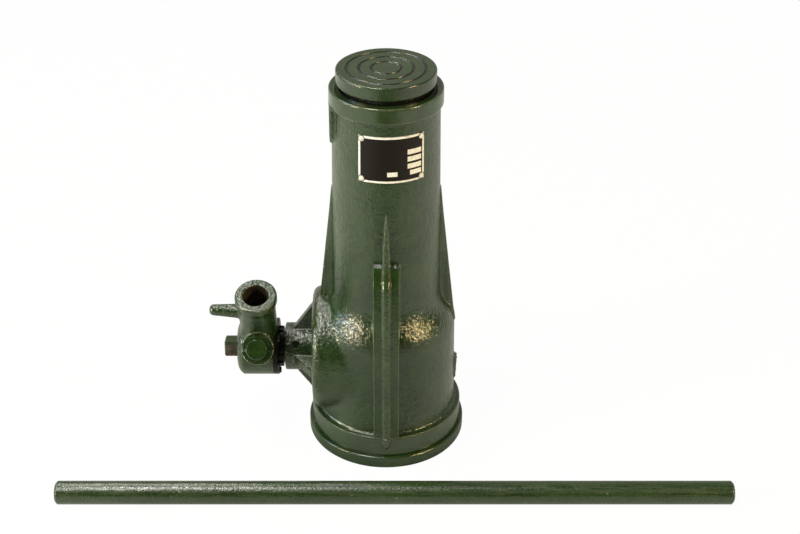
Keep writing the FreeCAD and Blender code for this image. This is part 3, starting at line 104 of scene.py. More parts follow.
class Finish:  # a node material, or the world, with one way to add any node
    def __init__(self, name, owner=None):
        self.owner = owner or bpy.data.materials.new(name)
        self.owner.use_nodes = True
        self.tree = self.owner.node_tree
        self.shader = self.tree.nodes.get("Principled BSDF") or self.tree.nodes["Background"]

    def add(self, kind, settings=None, sockets=None, out=0):  # out picks one output; None gives them all
        node = self.tree.nodes.new("ShaderNode" + kind)
        for name, value in (settings or {}).items():
            setattr(node, name, value)
        for name, value in (sockets or {}).items():
            self.put(node.inputs[name], value)
        if out is None:
            return [Wire(self.tree, socket) for socket in node.outputs]
        return Wire(self.tree, node.outputs[out])

    def put(self, socket, value):  # a link or a constant
        if isinstance(value, Wire):
            self.tree.links.new(value.socket, socket)
        else:
            socket.default_value = value

    def feed(self, name, value):  # one input of the shader; a tuple is a colour
        self.put(self.shader.inputs[name], (*value, 1.0) if isinstance(value, tuple) else value)

    def place(self):  # position on the part, in metres
        return self.add("TexCoord", out="Object")

    def parts(self, vector):
        return self.add("SeparateXYZ", None, {0: vector}, None)

    def ray(self, kind):  # 1 for rays of that kind
        return self.add("LightPath", out="Is " + kind + " Ray")

    def noise(self, place, scale, detail=2.0, rough=0.5):
        sockets = {"Vector": place, "Scale": scale, "Detail": detail, "Roughness": rough}
        return self.add("TexNoise", None, sockets)

    def step(self, value, low, high):  # 0 at low, 1 at high, smooth between; low may be the larger one
        settings = {"interpolation_type": "SMOOTHSTEP"}
        return self.add("MapRange", settings, {"Value": value, "From Min": low, "From Max": high})

    def tint(self, share, first, second):  # colour between two colours or wires
        sockets = {0: share}
        for index, colour in ((6, first), (7, second)):
            sockets[index] = colour if isinstance(colour, Wire) else (*colour, 1.0)
        return self.add("Mix", {"data_type": "RGBA"}, sockets, 2)

    def relief(self, height, distance, soften=0.0):  # bumps, on edges that look rounded
        sockets = {"Height": height, "Distance": distance, "Strength": 1.0}
        if soften:
            sockets["Normal"] = self.add("Bevel", {"samples": 4}, {"Radius": soften})
        self.feed("Normal", self.add("Bump", None, sockets))


def dress(finish, *names):  # give CAD nodes a finish
    for name in names:
        slots = nodes[name].data.materials
        slots.clear()
        slots.append(finish.owner)


headTilt = math.radians(19.5)
pawlTilt = math.radians(59.5)
headMiddle = (-0.089, 0.0, 0.066)
shaftLine = ((0.0, 0.0, 0.066), (1.0, 0.0, 0.0))  # a point and a direction, in metres
socketLine = (headMiddle, (0.0, -math.sin(headTilt), math.cos(headTilt)))
pawlLine = (headMiddle, (0.0, -math.sin(pawlTilt), math.cos(pawlTilt)))

# green paint on sand cast iron; pairs of numbers are the ends of a smooth step
enamel = {
    "deep": (0.0100, 0.0265, 0.0052), "light": (0.0185, 0.0450, 0.0105), "patches": (0.38, 0.62),
    "edge": (0.10, 0.125, 0.078), "edgeHighlightShare": 0.45,  # painted highlight: the paint is lighter on sharp convex edges
    "worn": (0.16, 0.145, 0.085), "wornShare": 0.35, "chips": (0.46, 0.62),
    "cloud": 38.0, "sand": 560.0, "peel": 210.0,  # waves per metre of colour, sand skin and thick paint
    "sandLift": 0.55, "peelLift": 0.3, "relief": 0.0012,
    "rough": 0.13, "grainRough": 0.08, "grains": (0.45, 0.7), "specular": 1.0,
    "smooth": 0.85, "fade": 0.0004,  # share of the grain that a calm range loses, and its soft edge
}


# calm lists smooth ranges: low, high, least distance from the middle plane, soft edge below
def enamelPaint(name, grain, edge=0.0, calm=(), dull=0.0, extra=None):
    paint = Finish(name)
    place = paint.place()
    x, y, z = paint.parts(place)
    cloud = paint.noise(place, enamel["cloud"], detail=3.0)
    sand = paint.noise(place, enamel["sand"], rough=0.55)
    peel = paint.noise(place, enamel["peel"])
    edgeWearAndHighlight = paint.add("Attribute", {"attribute_name": "edgeWearAndHighlight"}, out="Fac")
    for low, high, out, fade in calm:
        inside = paint.step(z, low - fade, low) * (1.0 - paint.step(z, high, high + enamel["fade"]))
        inside = inside * paint.step(abs(y), out - enamel["fade"], out)
        grain = grain * (1.0 - enamel["smooth"] * inside)
    height = (sand * enamel["sandLift"] + peel * enamel["peelLift"]) * grain
    share = paint.step(cloud * 0.5 + peel * 0.3 + sand * 0.2, *enamel["patches"])
    colour = paint.tint(share, enamel["deep"], enamel["light"])
    # painted highlight: lighter colour along convex edges
    colour = paint.tint(edgeWearAndHighlight * enamel["edgeHighlightShare"], colour, enamel["edge"])
    chip = edgeWearAndHighlight * paint.step(sand * 0.6 + cloud * 0.4, *enamel["chips"])
    colour = paint.tint(chip * enamel["wornShare"], colour, enamel["worn"])
    gloss = enamel["rough"] + dull + enamel["grainRough"] * paint.step(sand, *enamel["grains"])
    if extra:
        colour, gloss, height = extra(paint, (x, y, z), (colour, gloss, height), (sand, peel))
    paint.feed("Base Color", colour)
    paint.feed("Roughness", gloss)
    paint.feed("Specular IOR Level", enamel["specular"])
    paint.relief(height, enamel["relief"], edge)
    return paint


grooves = {  # rings cut in the saddle, in metres
    "count": 3, "first": 0.0097, "pitch": 0.00795, "side": (0.0013, 0.0009),
    "dull": 0.07, "dullFrom": (0.2778, 0.2788),
    # painted shade in the grooves: its colour and the heights where it fades in and out
    "shadeColour": (0.0010, 0.0026, 0.0007), "shadeFrom": (0.2788, 0.2790), "shadeTo": (0.27995, 0.2798),
}


def grooveShade(paint, spot, made, clouds):  # painted shade: dark colour in the grooves in the top of the saddle, which are also duller
    x, y, z = spot
    colour, gloss, height = made
    off = (x * x + y * y).root()
    ring = 0.0
    for count in range(grooves["count"]):
        apart = abs(off - grooves["first"] - count * grooves["pitch"])
        ring = paint.step(apart, *grooves["side"]) + ring
    gloss = gloss + grooves["dull"] * ring * paint.step(z, *grooves["dullFrom"])
    # painted shade down in the grooves
    shadeColour = ring * paint.step(z, *grooves["shadeFrom"]) * paint.step(z, *grooves["shadeTo"])
    return paint.tint(shadeColour, colour, grooves["shadeColour"]), gloss, height


lever = {  # socket for the lever, and the painted highlight on the rim of the pawl boss, in metres
    "wall": (0.0092, 0.0086), "depth": (0.018, 0.022), "dull": 0.45,
    "soot": (0.008, 0.005, 0.003), "rust": (0.042, 0.019, 0.008), "stains": (0.35, 0.65),
    "rim": 0.0115, "rimHalf": (0.0010, 0.0004), "rimFrom": (0.0262, 0.0268),
    "rimHighlight": (0.16, 0.17, 0.12), "rimHighlightBreak": (0.35, 0.6), "rimHighlightShare": 0.8,
}


def besideLine(spot, line):  # length along a line through the head, and distance from it
    x, y, z = spot
    (bx, by, bz), (ax, ay, az) = line
    run = (y - by) * ay + (z - bz) * az
    return run, ((x - bx) ** 2.0 + ((y - by) * az - (z - bz) * ay) ** 2.0).root()


def socketRustAndRimHighlight(paint, spot, made, clouds):  # rust in the lever socket, and a pale painted highlight on the rim round the pawl boss
    colour, gloss, height = made
    sand, peel = clouds
    run, off = besideLine(spot, socketLine)
    hole = paint.step(off, *lever["wall"]) * paint.step(run, *lever["depth"])
    stain = paint.tint(paint.step(peel, *lever["stains"]), lever["soot"], lever["rust"])
    lift, apart = besideLine(spot, pawlLine)
    rim = paint.step(abs(apart - lever["rim"]), *lever["rimHalf"]) * paint.step(lift, *lever["rimFrom"])
    rim = rim * paint.step(sand, *lever["rimHighlightBreak"]) * lever["rimHighlightShare"]
    # painted highlight on the rim of the pawl boss, broken up by the sand grain
    colour = paint.tint(rim, colour, lever["rimHighlight"])
    return paint.tint(hole, colour, stain), gloss + lever["dull"] * hole, height


bar = {
    "stretch": 0.06, "streaks": 900.0, "streakColour": (0.030, 0.052, 0.016), "streakAt": (0.4, 0.7),
    "streakShare": 0.5, "chipColour": (0.20, 0.15, 0.10), "chips": (0.735, 0.76),
    "dull": 0.12, "dullAt": (0.35, 0.65), "lift": 0.06,
}


def drawnStreaks(paint, spot, made, clouds):  # fine streaks along the bar, and small chips
    x, y, z = spot
    colour, gloss, height = made
    peel = clouds[1]
    drawn = paint.add("CombineXYZ", None, {0: x * bar["stretch"], 1: y, 2: z})
    streak = paint.noise(drawn, bar["streaks"])
    share = paint.step(streak, *bar["streakAt"]) * bar["streakShare"]
    colour = paint.tint(share, colour, bar["streakColour"])
    colour = paint.tint(paint.step(peel, *bar["chips"]), colour, bar["chipColour"])
    gloss = gloss + bar["dull"] * paint.step(streak, *bar["dullAt"])
    return colour, gloss, height + streak * bar["lift"]


calmCast = [  # collar, flange and the slope at the top of the strips
    (0.2565, 0.270, 0.0, 0.0004), (0.0, 0.0238, 0.0, 0.0004), (0.1485, 0.1548, 0.0395, 0.006),
]
castPaint = enamelPaint("castEnamel", 1.0, calm=calmCast)
basePaint = enamelPaint("baseEnamel", 0.35, 0.0010)
turnedPaint = enamelPaint("turnedEnamel", 0.05, 0.0003)
saddlePaint = enamelPaint("saddleEnamel", 0.10, 0.0003, dull=0.10, extra=grooveShade)
barPaint = enamelPaint("barEnamel", 0.35, 0.0008, dull=0.10, extra=drawnStreaks)
rockerPaint = enamelPaint("rockerEnamel", 1.0, extra=socketRustAndRimHighlight)
dress(basePaint, "base_plate")
dress(turnedPaint, "pawl_knob", "guide_screw")
dress(saddlePaint, "saddle")
dress(barPaint, "handle_bar")
dress(castPaint, "housing")
dress(rockerPaint, "rocker_arm")
print("green paint made")

# least divisors: length of a vector, edge of a grid, sine of an angle
leastLength = 1e-12
leastSpan = 1e-9
leastSine = 1e-6


def readField(items, field, width, kind=float):  # one field of a mesh's elements, as rows of numbers
    values = np.empty(len(items) * width, kind)
    items.foreach_get(field, values)
    return values.reshape(-1, width)


def newPiece(name, mesh):
    piece = bpy.data.objects.new(name, mesh)
    scene.collection.objects.link(piece)
    return piece


def addEdgeWearAndHighlight(mesh, edgeWearAndHighlight):  # 0 to 1 at each point, read by the paint for worn chips and for the painted edge highlight
    field = mesh.attributes.new("edgeWearAndHighlight", "FLOAT", "POINT")
    field.data.foreach_set("value", edgeWearAndHighlight.ravel().astype(np.float32))


def settle(piece, finish, rides, source):  # smooth faces, one finish, and its place in the part
    mesh = piece.data
    mesh.polygons.foreach_set("use_smooth", np.ones(len(mesh.polygons), bool))
    mesh.materials.clear()
    mesh.materials.append(finish.owner)
    mesh.update()
    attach(piece, rides)
    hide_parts(source)
    print(piece.name, sum(len(face.vertices) - 2 for face in mesh.polygons), "triangles")


def softMax(first, second, blend):  # the larger value, with a fillet where the two are within the blend
    near = np.clip(1.0 - np.abs(first - second) / blend, 0.0, None)
    return np.maximum(first, second) + near * near * blend / 4


def softMin(first, second, blend):  # the smaller value, with a rounded corner
    return -softMax(-first, -second, blend)


def bendOf(points):  # curvature of a closed grid along its normals, convex positive
    right = np.roll(points, -1, 1) - points
    left = np.roll(points, 1, 1) - points
    ahead = np.roll(points, -1, 0) - points
    behind = np.roll(points, 1, 0) - points
    normal = np.cross(right - left, ahead - behind)
    normal /= np.maximum(np.linalg.norm(normal, axis=2), leastLength)[:, :, None]
    bend = 0.0
    for first, second in ((right, left), (ahead, behind)):
        span = (np.linalg.norm(first, axis=2) + np.linalg.norm(second, axis=2)) / 2
        bend = bend - ((first + second) * normal).sum(2) / np.maximum(span, leastSpan) ** 2
    return bend


# closed grid of points in millimetres, rows by columns, as one smooth piece of the housing
def castGrid(name, points, edgeWearAndHighlight):
    points = points * 0.001
    rows, columns = points.shape[:2]
    index = np.arange(rows * columns).reshape(rows, columns)
    across = np.roll(index, -1, 1)
    quads = np.stack([index, across, np.roll(across, -1, 0), np.roll(index, -1, 0)], 2).reshape(-1, 4)
    mesh = bpy.data.meshes.new(name)
    mesh.from_pydata(points.reshape(-1, 3), [], quads)
    addEdgeWearAndHighlight(mesh, np.clip(bendOf(points) * edgeWearAndHighlight, 0.0, 1.0))
    settle(newPiece(name, mesh), castPaint, "housing", "housing")


def runs(*stops):  # values from stop to stop, each (end, gap)
    values = [np.array([stops[0][0]])]
    for (start, skip), (end, gap) in zip(stops, stops[1:]):
        count = max(int(math.ceil(abs(end - start) / gap)), 1)
        values.append(np.linspace(start, end, count + 1)[1:])
    return np.concatenate(values)


def lined(outside, inside, angle):  # rows of the inside added to those of the outside
    return np.concatenate([outside + 0.0 * angle, np.array(inside)[:, None] + 0.0 * angle])


body = {  # millimetres, as in the CAD model
    "floor": 9.0, "flange": 53.3, "flangeTop": 24.4, "edge": 1.0, "root": 2.5,
    "drumFoot": 48.8, "drumTop": 48.0, "shoulderFoot": 86.5, "shoulderTop": 120.5,
    "neckFoot": 37.1, "neckTop": 35.2, "collarFoot": 257.0, "collar": 37.15, "collarTop": 268.0,
    "bore": 30.3, "lip": 31.05, "boreFoot": 104.0, "cavity": 42.6, "cavityTop": 86.0,
    "shaft": 66.0, "drive": 43.0, "driveFace": 51.4, "driveRound": 5.5, "driveRoot": 2.4, "driveMost": 80.0,
    "ribHalf": 2.5, "ribFoot": 91.0, "ribTop": 195.0, "ribLead": 8.0, "ribProud": 1.1, "ribEdge": 1.0,
    "ribRoot": 2.6,
    "stripHalf": 8.6, "stripFoot": 23.6, "stripTop": 155.2, "stripTopOut": 40.2, "stripEdge": 0.9,
    "stripRoot": 1.2,
    "stripLean": [  # height and slope
        (155.2, 0.52), (148.0, 0.50), (140.0, 0.26), (130.0, 0.19), (115.0, 0.11), (100.0, 0.04),
        (90.0, 0.0), (23.6, 0.0),
    ],
    "stripSteps": 400,
    "beadHalf": 3.1, "beadProud": 2.0, "beadRound": 2.3, "beadTop": 193.0, "beadEnd": 195.0,
    "beadTaper": 40.0, "beadRamp": (14.5, 18.0), "beadSunk": 0.2, "beadToe": 20.0, "beadToeLength": 5.0,
    "beadRoot": 0.8,
    "keyHalf": 13.5, "keyMiddle": 242.5, "keyTop": 257.5, "keyFace": 36.6, "keyEdge": 1.4, "keyRoot": 1.8,
    "guide": 246.0, "guideHole": 5.6, "guideSoft": 0.4, "guideSink": 1.2,
    "gateHalf": 3.5, "gateFoot": 41.0, "gateTop": 59.0, "gateProud": 1.5, "gateTaper": (0.5, 1.0),
    "gateRagged": 0.45, "gateWaves": (2.3, 3.0, 0.9, 1.7), "gateRound": 0.5,
    "edgeWearAndHighlight": 0.0009,  # metres; the radius of an edge at which its paint is worn through and its painted highlight is strongest
}


def neckAt(height):  # radius of the tapered neck
    ends = (body["shoulderTop"], body["collarFoot"])
    return np.interp(height, ends, (body["neckFoot"], body["neckTop"]))


def stripAt(height):  # how far out the strip's face is: its slope added up from the top down
    down = np.linspace(body["stripTop"], body["stripFoot"], body["stripSteps"])
    tall, lean = np.array(body["stripLean"]).T
    lean = np.interp(down, tall[::-1], lean[::-1])
    gain = (lean[1:] + lean[:-1]) / 2 * (down[0] - down[1])
    out = body["stripTopOut"] + np.concatenate([[0.0], np.cumsum(gain)])
    return np.interp(height, down[::-1], out[::-1])


def bodyRows():  # radius and height of each row from the base up to the collar, before strips and ribs
    edge = body["edge"]
    turn = np.linspace(0.0, math.pi / 2, 6)  # a round edge
    low = runs((body["floor"], 0), (20.0, 0.8), (body["flangeTop"] - edge, 1.2))
    radius = [np.full(len(low), body["flange"]), body["flange"] - edge * (1 - np.cos(turn[1:]))]
    height = [low, body["flangeTop"] - edge * (1 - np.sin(turn[1:]))]
    # hollow round at the foot of the drum
    radius.append(body["drumFoot"] + body["root"] * (1 - np.sin(turn)))
    height.append(body["flangeTop"] + body["root"] * (1 - np.cos(turn)))
    drum = runs((body["flangeTop"] + body["root"], 0), (body["shoulderFoot"], 1.2))[1:]
    radius.append(np.interp(drum, (drum[0], drum[-1]), (body["drumFoot"], body["drumTop"])))
    height.append(drum)
    # the shoulder is a round crown and a round hollow of one radius
    step = body["drumTop"] - body["neckFoot"]
    rise = body["shoulderTop"] - body["shoulderFoot"]
    bend = (step * step + rise * rise) / (4 * step)
    shoulder = runs((body["shoulderFoot"], 0), (100.0, 1.2), (109.2, 0.4), (body["shoulderTop"], 1.2))[1:]
    above = np.minimum(shoulder - body["shoulderFoot"], rise / 2)
    below = np.minimum(body["shoulderTop"] - shoulder, rise / 2)
    crown = body["drumTop"] - bend + np.sqrt(bend ** 2 - above ** 2)
    hollow = body["neckFoot"] + bend - np.sqrt(bend ** 2 - below ** 2)
    radius.append(np.where(shoulder < body["shoulderFoot"] + rise / 2, crown, hollow))
    height.append(shoulder)
    neck = runs((body["shoulderTop"], 0), (130.0, 1.5), (154.6, 0.75), (155.1, 0.25), (155.3, 0.2),
                (158.0, 0.7), (186.0, 2.0), (196.0, 0.8), (228.0, 4.0), (256.0, 1.1))[1:]
    radius.append(neckAt(neck))
    height.append(neck)
    radius.append(body["collar"] - edge * (1 - np.sin(turn)))
    height.append(body["collarFoot"] + edge * (1 - np.cos(turn)))
    radius.append(np.full(6, body["collar"]))
    height.append(np.linspace(body["collarFoot"] + 2 * edge, body["collarTop"] - edge, 6))
    radius.append(body["collar"] - edge * (1 - np.cos(turn[1:])))
    height.append(body["collarTop"] - edge * (1 - np.sin(turn[1:])))
    return np.concatenate(radius), np.concatenate(height)


def bodyAngles():  # angles from the front: close at strips and ribs, closer on the side of the drive
    front = [(5.0, 0), (8.0, 0.7), (12.5, 0.3)]
    rib = [(86.0, 0.5), (90.0, 0.6), (94.0, 0.6), (97.0, 0.5)]
    back = [(172.0, 0.3), (175.0, 0.7)]
    plain = runs(*front, (83.0, 2.0), *rib, (167.5, 2.0), *back)
    drive = runs(*front, (25.0, 1.6), (83.0, 1.1), *rib, (155.0, 1.1), (167.5, 1.6), *back)
    middle = runs((-5.0, 0), (5.0, 0.42))[:-1]
    return np.radians(np.concatenate([middle, plain[:-1], middle + 180.0, 360.0 - drive[:0:-1]]))[None, :]


def padReach(up, broad, south):  # the pad is a disc with a round rim; its reach is found by halving
    bend = body["driveRound"]
    least = 0.0 * up
    most = 0.0 * up + body["driveMost"]
    for halving in range(24):
        middle = (least + most) / 2
        over = np.hypot(middle * south, up - body["shaft"]) - body["drive"] + bend
        past = middle * broad - body["driveFace"] + bend
        corner = np.hypot(np.maximum(over, 0.0), np.maximum(past, 0.0))
        within = np.minimum(np.maximum(over, past), 0.0) + corner < bend
        least, most = np.where(within, middle, least), np.where(within, most, middle)
    return np.where(np.abs(up - body["shaft"]) < body["drive"], least, 0.0)


def ribReach(up, broad, deep):  # a thin wall whose crest runs from the drum to the neck
    lead = body["ribTop"] - body["ribLead"]
    tall = (body["ribFoot"], lead, body["ribTop"])
    out = (body["drumTop"], neckAt(lead) + body["ribProud"], neckAt(body["ribTop"]))
    rib = softMin(np.interp(up, tall, out) / broad, body["ribHalf"] / deep, body["ribEdge"])
    return np.where((up >= body["ribFoot"]) & (up <= body["ribTop"]), rib, 0.0)


def stripReach(up, broad, deep):  # a broad flat strip with rounded edges
    strip = softMin(stripAt(up) / deep, body["stripHalf"] / broad, body["stripEdge"])
    return np.where((up >= body["stripFoot"]) & (up <= body["stripTop"]), strip, 0.0)


def beadReach(up, broad, deep):  # a half-round ridge along the strip, round at the foot, pointed on the neck
    top = body["beadTop"]
    proud = body["beadProud"]
    below = np.interp(up, body["beadRamp"], (body["flange"] - body["beadSunk"], body["flange"] + proud))
    above = np.interp(up, (body["stripTop"], top), (body["stripTopOut"] + proud, neckAt(top)))
    ridge = np.where(up < body["stripTop"], stripAt(up) + proud, above)
    ridge = np.where(up < body["flangeTop"], below, ridge)
    half = body["beadHalf"] * np.sqrt(np.clip((body["beadEnd"] - up) / body["beadTaper"], 0.0, 1.0))
    toe = np.maximum(body["beadToe"] - up, 0.0) / body["beadToeLength"]
    half = half * np.sqrt(np.clip(1.0 - toe ** 2, 0.0, 1.0))
    offset = ridge * broad / deep / np.maximum(half, leastSine)
    arch = 1.0 - np.sqrt(np.clip(1.0 - offset ** 2, 0.0, 1.0))
    return np.where((offset < 1.0) & (half > 0), (ridge - body["beadRound"] * arch) / deep, 0.0)


def keyReach(up, broad, deep):  # flat pad round the guide screw, round below and straight up to the collar
    drop = np.minimum(up - body["keyMiddle"], 0.0)
    span = np.sqrt(np.maximum(body["keyHalf"] ** 2 - drop ** 2, 0.0))
    key = softMin(body["keyFace"] / broad, span / deep, body["keyEdge"])
    return np.where((span > 0) & (up < body["keyTop"]), key, 0.0)


def gateReach(up, broad, deep, beside):  # broken stub of the casting gate, ragged by waves across each other
    lip = np.interp(up, (body["gateFoot"], body["gateTop"]), body["gateTaper"]) * body["gateProud"]
    fast, sway, slow, wide = body["gateWaves"]
    wave = np.sin(up * fast + sway * np.sin(up * slow))
    lip = lip * (1.0 + body["gateRagged"] * wave * np.cos(beside * wide))
    gate = softMin((body["drumFoot"] + lip) / broad, body["gateHalf"] / deep, body["gateRound"])
    return np.where((up >= body["gateFoot"]) & (up <= body["gateTop"]), gate, 0.0)


# radius as a function of height and angle: the turned form joined by soft maxima to all that stands on it
def castBody():
    radius, height = bodyRows()
    angle = bodyAngles()
    up = height[:, None] + 0.0 * angle
    east = np.sin(angle) + 0.0 * up
    south = np.cos(angle) + 0.0 * up
    broad = np.maximum(np.abs(east), leastSine)
    deep = np.maximum(np.abs(south), leastSine)
    west = east < 0
    form = radius[:, None] + 0.0 * up
    form = softMax(form, np.where(west, padReach(up, broad, south), 0.0), body["driveRoot"])
    form = softMax(form, ribReach(up, broad, deep), body["ribRoot"])
    form = softMax(form, stripReach(up, broad, deep), body["stripRoot"])
    form = softMax(form, beadReach(up, broad, deep), body["beadRoot"])
    form = softMax(form, np.where(west, keyReach(up, broad, deep), 0.0), body["keyRoot"])
    off = np.hypot(form * south, up - body["guide"])
    soft = body["guideSoft"]
    sunk = body["guideSink"] * np.clip((body["guideHole"] + soft - off) / (2 * soft), 0.0, 1.0)
    form = form - np.where(west, sunk, 0.0)
    gate = gateReach(up, broad, deep, form * south)
    form = softMax(form, np.where(west, 0.0, gate), body["gateRound"])
    inside = [  # radius and height, down the bore and the cavity
        (body["lip"], body["collarTop"]), (body["bore"], body["collarTop"] - 1.0), (body["bore"], 220.0),
        (body["bore"], 160.0), (body["bore"], body["boreFoot"]), (body["cavity"], body["cavityTop"]),
        (body["cavity"], 45.0), (body["cavity"], body["floor"]),
    ]
    radius, height = zip(*inside)
    form = lined(form, radius, angle)
    up = lined(up, height, angle)
    castGrid("castBody", np.stack([form * np.sin(angle), -form * np.cos(angle), up], 2), body["edgeWearAndHighlight"])


castBody()

boss = {  # millimetres; lengths are outwards along the drive shaft
    "inner": 47.0, "outer": 71.2, "radius": 16.8, "edge": 1.0, "hole": 12.52, "mouth": 14.0,
    "webRoot": 50.4, "webFace": 51.4, "webEnd": 65.5, "webReach": 36.0, "webTip": 15.8, "webHalf": 3.0,
    "webEdge": 0.8, "webFillet": 2.0, "webs": 4,
    "screwAt": 63.5, "screwTilt": 52.5, "screwHole": 2.6, "screwSoft": 0.2, "screwSink": 1.35,
    "edgeWearAndHighlight": 0.0009,
}


# radius round the drive shaft as a function of length and angle: a tube joined to four tapering webs
def driveBoss():
    edge = boss["edge"]
    turn = np.linspace(0.0, math.pi / 2, 5)[1:]
    straight = runs((boss["inner"], 0), (59.5, 0.7), (67.5, 0.35), (boss["outer"] - edge, 0.7))
    out = np.concatenate([straight, boss["outer"] - edge * (1 - np.sin(turn))])[:, None]
    tube = np.full(len(out), boss["radius"])[:, None]
    tube[-len(turn):, 0] = boss["radius"] - edge * (1 - np.cos(turn))
    angle = np.radians(np.arange(0.0, 360.0, 1.0))[None, :]
    form = tube + 0.0 * angle
    reach = np.interp(out, (boss["webFace"], boss["webEnd"]), (boss["webReach"], boss["webTip"]))
    for quarter in range(boss["webs"]):
        along = np.cos(angle - quarter * math.pi / 2)
        beside = np.maximum(np.abs(np.sin(angle - quarter * math.pi / 2)), leastSine)
        web = softMin(reach / np.maximum(along, leastSine), boss["webHalf"] / beside, boss["webEdge"])
        there = (along > 0) & (out >= boss["webRoot"]) & (out <= boss["webEnd"])
        form = softMax(form, np.where(there, web, 0.0), boss["webFillet"])
    off = np.hypot(out - boss["screwAt"], boss["radius"] * (angle - math.radians(boss["screwTilt"])))
    soft = boss["screwSoft"]
    form = form - boss["screwSink"] * np.clip((boss["screwHole"] + soft - off) / (2 * soft), 0.0, 1.0)
    form = lined(form, [boss["mouth"], boss["hole"], boss["hole"], boss["hole"]], angle)
    out = lined(out, [boss["outer"], boss["outer"], 60.0, boss["inner"]], angle)
    points = np.stack([-out, -form * np.sin(angle), form * np.cos(angle) + body["shaft"]], 2)
    castGrid("driveBoss", points, boss["edgeWearAndHighlight"])


driveBoss()

rocker = {  # metres; lengths along the shaft are negative on the side of the head
    "weld": 1e-6, "cell": 0.00056, "rounds": 30, "fill": 0.85, "soften": 0.06, "slide": 0.3, "edgeWearAndHighlight": 6.0,
    "cover": -0.0795, "wheelEnd": -0.1018, "wheelWall": 0.0158, "noseWall": 0.0092,
    "socketWall": 0.0094, "socketFoot": 0.02, "pawlWall": 0.0058, "pawlFoot": 0.012,
    "bossWall": 0.0125, "bossFoot": 0.0272,
    "wheelBore": 0.01506, "wheelNear": 0.0156, "wheelFrom": -0.1015,
    "pawlBore": 0.00506, "pawlNear": 0.0055, "pawlFrom": 0.0165, "pawlTo": 0.0265,
}


def neighbourMean(points, ends):  # mean of the points that share an edge with each point
    count = len(points)
    first, second = ends.T
    total = []
    for axis in points.T:
        total.append(np.bincount(first, axis[second], count) + np.bincount(second, axis[first], count))
    return np.stack(total, 1) / np.bincount(ends.ravel(), minlength=count)[:, None]


def outward(points, quads):  # unit normals: the diagonals' cross products, added up at the corners
    corner = [points[quads[:, k]] for k in range(4)]
    across = np.cross(corner[2] - corner[0], corner[3] - corner[1])
    total = [np.bincount(quads.ravel(), np.repeat(axis, 4), len(points)) for axis in across.T]
    normal = np.stack(total, 1)
    return normal / np.maximum(np.linalg.norm(normal, axis=1), leastLength)[:, None]


def aside(points, line):  # length along a line, the offset square to it, and that offset's length
    base, along = (np.array(value) for value in line)
    arm = points - base
    run = arm @ along
    arm = arm - run[:, None] * along
    return run, arm, np.linalg.norm(arm, axis=1)


def rockerFree(points):  # 0 where bores, nose hole, socket and pawl boss keep their shape, 1 elsewhere
    side, arm, reach = aside(points, shaftLine)
    run, arm, socket = aside(points, socketLine)
    lift, arm, pawl = aside(points, pawlLine)
    kept = (side > rocker["cover"]) | (reach < rocker["noseWall"])
    kept |= (side > rocker["wheelEnd"]) & (reach < rocker["wheelWall"])
    kept |= (socket < rocker["socketWall"]) & (run > rocker["socketFoot"])
    kept |= (pawl < rocker["pawlWall"]) & (lift > rocker["pawlFoot"])
    kept |= (pawl < rocker["bossWall"]) & (lift > rocker["bossFoot"])
    return np.where(kept, 0.0, 1.0)


def clearBore(points, line, start, end, near, least):  # points in a bore go out to its least radius
    run, arm, radius = aside(points, line)
    inside = (run > start) & (run < end) & (radius < near)
    share = np.maximum(radius[inside], least) / radius[inside] - 1.0
    points[inside] += arm[inside] * share[:, None]


# voxel copy of the head: in each round, points move towards their neighbours' mean, mostly in hollow
# corners, which fill up as fillets in a mould do
def castRocker():
    welded = nodes["rocker_arm"].data.copy()
    joined = bmesh.new()
    joined.from_mesh(welded)
    bmesh.ops.remove_doubles(joined, verts=joined.verts, dist=rocker["weld"])
    joined.to_mesh(welded)
    joined.free()
    piece = newPiece("castRocker", welded)
    wrap = piece.modifiers.new("wrap", "REMESH")
    wrap.mode = "VOXEL"
    wrap.voxel_size = rocker["cell"]
    shaped = piece.evaluated_get(bpy.context.evaluated_depsgraph_get())
    mesh = bpy.data.meshes.new_from_object(shaped)
    piece.modifiers.clear()
    piece.data = mesh
    points = readField(mesh.vertices, "co", 3)
    quads = readField(mesh.loops, "vertex_index", 1, np.int32).reshape(-1, 4)
    ends = readField(mesh.edges, "vertices", 2, np.int32)
    free = rockerFree(points)
    for turn in range(rocker["rounds"]):
        normal = outward(points, quads)
        pull = neighbourMean(points, ends) - points
        rise = (pull * normal).sum(1)
        share = np.where(rise > 0, rocker["fill"], rocker["soften"]) * free
        slide = (pull - normal * rise[:, None]) * (rocker["slide"] * free)[:, None]
        points += normal * (rise * share)[:, None] + slide
    rise = ((neighbourMean(points, ends) - points) * outward(points, quads)).sum(1)
    addEdgeWearAndHighlight(mesh, np.clip(-rise / rocker["cell"] * rocker["edgeWearAndHighlight"], 0.0, 1.0) * free)
    # wheel and plunger keep their clearance
    clearBore(points, shaftLine, rocker["wheelFrom"], np.inf, rocker["wheelNear"], rocker["wheelBore"])
    clearBore(points, pawlLine, rocker["pawlFrom"], rocker["pawlTo"], rocker["pawlNear"], rocker["pawlBore"])
    mesh.vertices.foreach_set("co", points.ravel())
    settle(piece, rockerPaint, "rocker", "rocker_arm")


castRocker()

bareMetal = {
    "cloud": 160.0, "patches": (0.34, 0.66), "scratch": 900.0, "relief": 0.00006, "edge": 0.0003,
    "spread": 0.2, "dull": 0.35, "dullAt": (0.6, 0.4),
}


def metal(name, bright, dark, rough):  # oiled or dull bare metal
    bare = Finish(name)
    place = bare.place()
    cloud = bare.noise(place, bareMetal["cloud"], detail=4.0, rough=0.6)
    fine = bare.noise(place, bareMetal["scratch"], detail=3.0)
    bare.feed("Base Color", bare.tint(bare.step(cloud, *bareMetal["patches"]), dark, bright))
    bare.feed("Metallic", 1.0 - bareMetal["dull"] * bare.step(cloud, *bareMetal["dullAt"]))
    bare.feed("Roughness", rough + bareMetal["spread"] * fine)
    bare.relief(fine, bareMetal["relief"], bareMetal["edge"])
    return bare


